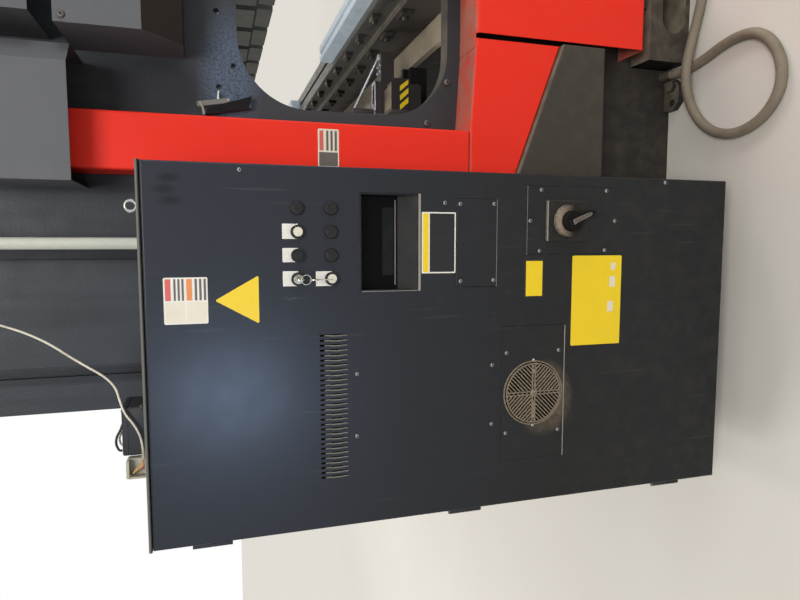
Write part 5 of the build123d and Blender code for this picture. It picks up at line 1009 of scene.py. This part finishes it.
boot("lead_boot", FLOOR_CORD[0], (-1, 0, -0.03), (17.5, 15.6), 26, "black_rubber")
boot("pedal_boot", FLOOR_CORD[-1], (0, 1, -0.02), (17.5, 15.6), 26, "black_rubber")
boot("signal_boot", SIGNAL_CORD[0], FORWARD, (4.4, 3.0), 20, "beige_plastic")


# Back gauge

CAP_FACE = -1128.0
RAIL_TOP = 857
BEAM_SADDLE, BAR_TOP, FINGER_SEAT = 862.0, 877.0, 232.0


def gauge_ends():
    """A cap with three yellow stripes on the crossbeam's end."""
    rear = box("gauge_beam")[1].y
    made = Shape()
    made.plate([(241, 786), (241, 834), (253, 845.5), (rear, 845.5), (rear, 786)], CAP_FACE, CAP_FACE - 2.5,
               bevel=0.6)
    for i in range(3):
        top, lean = 340 - 29 * i, 25
        outline = [(top, 817), (top - 17, 817), (top - 17 - lean, 789), (top - lean, 789)]
        made.plate([(max(y, 243), z) for y, z in outline], CAP_FACE - 2.5, CAP_FACE - 2.9, 1, bevel=0.1)
    made.finish("gauge_end_cap", "crossbeam", "gauge_aluminium", "gauge_aluminium", "foil_yellow")


def stop_finger(name, body, node):
    """A stop finger: a dark head on the rail, a polished slotted bar over the beam, a thin sloping arm."""
    low, high = box(node)
    x, rear, tip, crest = (low.x + high.x) / 2, high.y, low.y, high.z
    seat = FINGER_SEAT
    made = Shape()
    head = [(tip, 822), (tip, 850), (tip + 7, RAIL_TOP), (seat, RAIL_TOP), (seat, BEAM_SADDLE),
            (rear, BEAM_SADDLE), (rear, 846), (256, 846), (256, 812), (tip + 10, 812)]
    made.plate(head, x - 22, x + 22)
    outer = rounded((x - 22, x + 22), (seat, rear), 10)
    slot = rounded((x - 13, x + 13), (seat + 11, rear - 30), 9)
    made.hoop(outer, slot, BEAM_SADDLE, BAR_TOP - 1.5, 0, axis="z")
    made.hoop(outer, slot, BAR_TOP - 1.5, BAR_TOP, 1, axis="z")
    made.plate(slot, BEAM_SADDLE, BEAM_SADDLE + 0.6, 2, axis="z")
    made.wire([(x, tip + 14, RAIL_TOP + 1), (x, rear - 12, crest - 5)], 3.6, 12, 1)
    made.slab((x - 6, x + 6), (rear - 16, rear), 3, BAR_TOP - 1, crest, 0, 1, "z")
    made.slab((x - 11, x + 11), (tip + 6, tip + 26), 4, RAIL_TOP, RAIL_TOP + 5, 1, 1.2, "z")
    for dx, dy in ((-14, 44), (14, 44), (-14, 66), (14, 66)):
        made.lathe([(0, 4.6), (4, 4.6), (4.8, 3.8)], (x + dx, tip + dy, RAIL_TOP), UP, 18, 1)
        made.lathe([(0, 2.2), (0.2, 2.2)], (x + dx, tip + dy, RAIL_TOP + 4.7), UP, 6, 2)
    piece = made.finish(name, body, "finger_steel", "finger_head", "polished_steel", "ink_black")
    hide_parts(node)


gauge_ends()
stop_finger("left_stop_finger", "left_stop", "left_finger")
stop_finger("right_stop_finger", "right_stop", "right_finger")


# Position switch behind the strip, and the shelf's flaps

SWITCH_CASE = -1409.0


def switch_trim():
    """The switch's black case, its pale bracket with a bright clip on top, and a short lead to a screw."""
    face = SWITCH_CASE
    made = Shape()
    made.plate([(428.2, 1402.6), (444.4, 1406.4), (422.6, 1302.2), (393.4, 1294)], PLATE_FACE, face - 2,
               bevel=0.8)
    made.plate([(427, 1426), (414, 1427), (401, 1348), (412, 1346)], face + 4, face - 1, 1, bevel=0.6)
    clip = [(445, 1408), (430, 1410), (413, 1418), (414, 1423), (431, 1415), (446, 1413)]
    made.plate(clip, face + 4, face - 3, 2, bevel=0.5)
    made.lathe([(0, 4), (3, 4), (4, 3)], (face - 1, 407.5, 1352), LEFT, 18, 2)
    lead = [(-1408, 409, 1376), (-1404, 400, 1376), (-1396, 390, 1375), (-1384, 381, 1374)]
    made.wire(arc(lead), 2.4, 10, 3)
    made.finish("switch_trim", "frame", "zinc", "case_black", "edge_paint", "bare_and_lit_edge", "foil_white")


def shelf_joint():
    """The folded flap of the shelf that covers the gap before the end cover, on both sides."""
    made = Shape()
    outer = box("side_covers")[0].x + 3
    for side in (1, -1):
        near, far = sorted((side * outer, side * (PLATE_FACE - 1)))
        made.plate([(near, 203), (far, 203), (far, 244), (near, 244)], 716.6, 718.6, 0, bevel=0.6, axis="z")
    made.finish("shelf_joint", "frame", "red_paint")


switch_trim()
shelf_joint()


# Sides that the photograph doesn't show

KEY_ROWS, KEY_COLUMNS = 3, 9
KEY_START, KEY_PITCH, KEY_SIZE = (1190, 1314), (29, 34), (23, 26)
KNOB = ((0, 19), (3, 19), (4, 17.5), (4, 14), (17, 12.5), (18.5, 11))
KNOB_COLUMN = 1523
GREEN_KEY, AMBER_KEY = (0, 8), (0, 7)


def tank_fittings():
    """The oil level glass, the drain plug and a bare plate on the tank's rear."""
    rear = TANK_REAR
    made = Shape()
    made.slab((-318, -282), (2050, 2200), 8, rear, rear + 8, 0, 1.5, "y")
    made.slab((-307, -293), (2072, 2178), 6, rear + 8, rear + 12, 1, 2, "y")
    for x, z, radius, back, sides in ((-300, 2060, 7, 6, 20), (-300, 2190, 7, 6, 20), (380, 2025, 13, 0, 6)):
        made.lathe([(0, radius * 1.3), (3, radius * 1.3), (3, radius), (10, radius), (12, radius * 0.8)],
                   (x, rear + back, z), REARWARD, sides, 2)
    made.slab((40, 190), (2095, 2175), 4, rear, rear + 0.8, 3, 0.3, "y")
    made.finish("tank_fittings", "frame", "cylinder_paint", "dark_case", "oil_glass", "plated_screw",
                "foil_grey")


def motor_fittings():
    """The motor's terminal box with its gland, and the openings in its fan cowl."""
    made = Shape()
    end = box("pump_motor")[1].x
    y, z = MOTOR_AXIS
    left, base, top = end - 210, z + 88, z + 150
    made.slab((left, left + 110), (y - 48, y + 48), 7, base, top, 0, 1, "z")
    made.slab((left - 3, left + 113), (y - 51, y + 51), 8, top, top + 8, 0, 3, "z")
    for dx in (8, 102):
        for dy in (-40, 40):
            made.lathe([(0, 4.5), (2, 4.5), (3, 3)], (left + dx, y + dy, top + 8), UP, 16, 1)
    made.lathe([(0, 13), (8, 13), (8, 10), (20, 10), (26, 7)], (left + 55, y + 48, z + 118), REARWARD, 6, 1)
    for radius in (28, 46, 64, 82):
        made.hoop(circle((y, z), radius), circle((y, z), radius - 8), end, end + 1.2, 2)
    made.lathe([(0, 14), (2, 13)], (end, y, z), RIGHT, 24, 1)
    made.finish("motor_fittings", "frame", "cylinder_paint", "cylinder_paint", "plated_screw", "ink_black")


def pendant_front():
    """The control box's screen in its seal, its rows of keys and two rotary switches."""
    face, recess, foil = PENDANT_FACE, SCREEN_RECESS, PENDANT_FACE - 0.8
    made = Shape()
    made.slab((1183, 1449), (1434, 1620), 5, recess, recess - 2, 0, 0.5, "y")
    made.slab((1192, 1440), (1443, 1611), 4, recess - 2, recess - 3, 1, 0.3, "y")
    made.slab((1180, 1452), (1306, 1420), 5, face, foil, 2, 0.3, "y")
    for row in range(KEY_ROWS):
        for column in range(KEY_COLUMNS):
            x, z = KEY_START[0] + KEY_PITCH[0] * column, KEY_START[1] + KEY_PITCH[1] * row
            colour = {GREEN_KEY: 4, AMBER_KEY: 5}.get((row, column), 3)
            made.slab((x, x + KEY_SIZE[0]), (z, z + KEY_SIZE[1]), 4, foil, foil - 2.6, colour, 1.2, "y")
    for z in (1475, 1560):
        made.lathe(KNOB, (KNOB_COLUMN, face, z), FORWARD, 36)
        pointer = (KNOB_COLUMN - 1.2, KNOB_COLUMN + 1.2)
        made.slab(pointer, (z + 2, z + 11), 0.8, face - 18.3, face - 19, 6, 0, "y", steps=2)
    for x in (1164, 1552):
        for z in (1296, 1634):
            made.lathe([(0, 5), (2, 5), (3, 3.4)], (x, face, z), FORWARD, 18, 7)
    made.finish("pendant_front", "pendant", "pendant_paint", "black_rubber", "screen_glass", "foil_grey",
                "key_grey", "key_green", "key_amber", "foil_white", "plated_screw")


tank_fittings()
motor_fittings()
pendant_front()


# Floor, world and lamps

FLOOR_HALF = 40.0
PLAIN_FROM, PLAIN_BEYOND = 2.2, 6.0
AMBIENT, AMBIENT_STRENGTH = (0.97, 0.98, 1.0, 1.0), 0.45
WHITE = (1.0, 1.0, 1.0, 1.0)


def seen_plainly(tree):
    """1 for the camera's own rays and for those that gloss or glass sends on."""
    rays = tree.nodes.new("ShaderNodeLightPath")
    seen = rays.outputs["Is Camera Ray"]
    for kind in ("Is Glossy Ray", "Is Transmission Ray"):
        either = tree.nodes.new("ShaderNodeMath")
        either.operation = "MAXIMUM"
        tree.links.new(seen, either.inputs[0])
        tree.links.new(rays.outputs[kind], either.inputs[1])
        seen = either.outputs[0]
    return seen


def make_stage():
    """The pale floor. Far from the machine it keeps its own colour, and near it the shadows fall on it."""
    ground = bmesh.new()
    bmesh.ops.create_grid(ground, x_segments=1, y_segments=1, size=FLOOR_HALF)
    data = bpy.data.meshes.new("floor")
    ground.to_mesh(data)
    ground.free()
    floor = add("floor", data)
    floor.location = (0, 0, at(0, 0, 0).z)
    made = Finish("pale_floor", (206, 200, 190), 0.75, Specular_IOR_Level=0.2)
    made.tint((196, 188, 176), made.cloud(0.7, 5, 0.35, 0.7, 0.3))
    made.bump(made.noise(0.01, 3), 0.0002)
    made.done()
    far = made.span(made.vector("LENGTH", made.place)["Value"], PLAIN_FROM, PLAIN_BEYOND)
    even = made.node("Emission", Color=srgb((226, 222, 214)), Strength=1.0)
    mixed = made.node("MixShader")
    made.feed(mixed.inputs[0], made.times(far, seen_plainly(made.tree)))
    made.feed(mixed.inputs[1], made.shader.outputs[0])
    made.feed(mixed.inputs[2], even.outputs[0])
    made.feed(made.tree.nodes["Material Output"].inputs["Surface"], mixed.outputs[0])
    data.materials.append(made.material)


def make_world():
    """A soft even light, which looks white where it is seen."""
    world = bpy.data.worlds.new("studio")
    bpy.context.scene.world = world
    world.use_nodes = True
    tree = world.node_tree
    tree.nodes.clear()
    mixed = tree.nodes.new("ShaderNodeMixShader")
    tree.links.new(seen_plainly(tree), mixed.inputs[0])
    for socket, colour, strength in ((1, AMBIENT, AMBIENT_STRENGTH), (2, WHITE, 1.0)):
        sky = tree.nodes.new("ShaderNodeBackground")
        sky.inputs["Color"].default_value = colour
        sky.inputs["Strength"].default_value = strength
        tree.links.new(sky.outputs[0], mixed.inputs[socket])
    output = tree.nodes.new("ShaderNodeOutputWorld")
    tree.links.new(mixed.outputs[0], output.inputs[0])


def lamp(name, place, aim, size, power, colour=(1.0, 1.0, 1.0), diffuse=True):
    """A rectangular lamp at a place, aimed at another. Not diffuse, it only shines in gloss."""
    data = bpy.data.lights.new(name, "AREA")
    data.shape = "RECTANGLE"
    data.size, data.size_y = size
    data.energy = power
    data.color = colour
    made = add(name, data)
    made.location = at(*place)
    made.rotation_euler = (at(*aim) - at(*place)).to_track_quat("-Z", "Y").to_euler()
    made.visible_diffuse = diffuse


make_stage()
make_world()
lamp("key_lamp", (-5186, 600, 3681), (-1500, 600, 1100), (1.6, 1.6), 130.0, (1.0, 0.985, 0.96))
lamp("window_lamp", (-4334, 1704, 1324), (-1728, 1080, 1374), (0.3, 0.6), 27.0, (0.46, 0.66, 1.0),
     diffuse=False)
lamp("side_lamp", (-3400, -3600, 1500), (-1383, 350, 1200), (1.6, 1.6), 60.0, (0.85, 0.93, 1.0))
lamp("front_lamp", (600, -5200, 3400), (300, 0, 1000), (3.0, 2.0), 200.0, (1.0, 0.98, 0.95))
lamp("rear_lamp", (1200, 5800, 3600), (0, 800, 1200), (3.0, 2.0), 200.0, (0.97, 0.99, 1.0))
lamp("far_lamp", (5600, 1400, 3600), (1500, 500, 1100), (2.0, 2.0), 130.0)
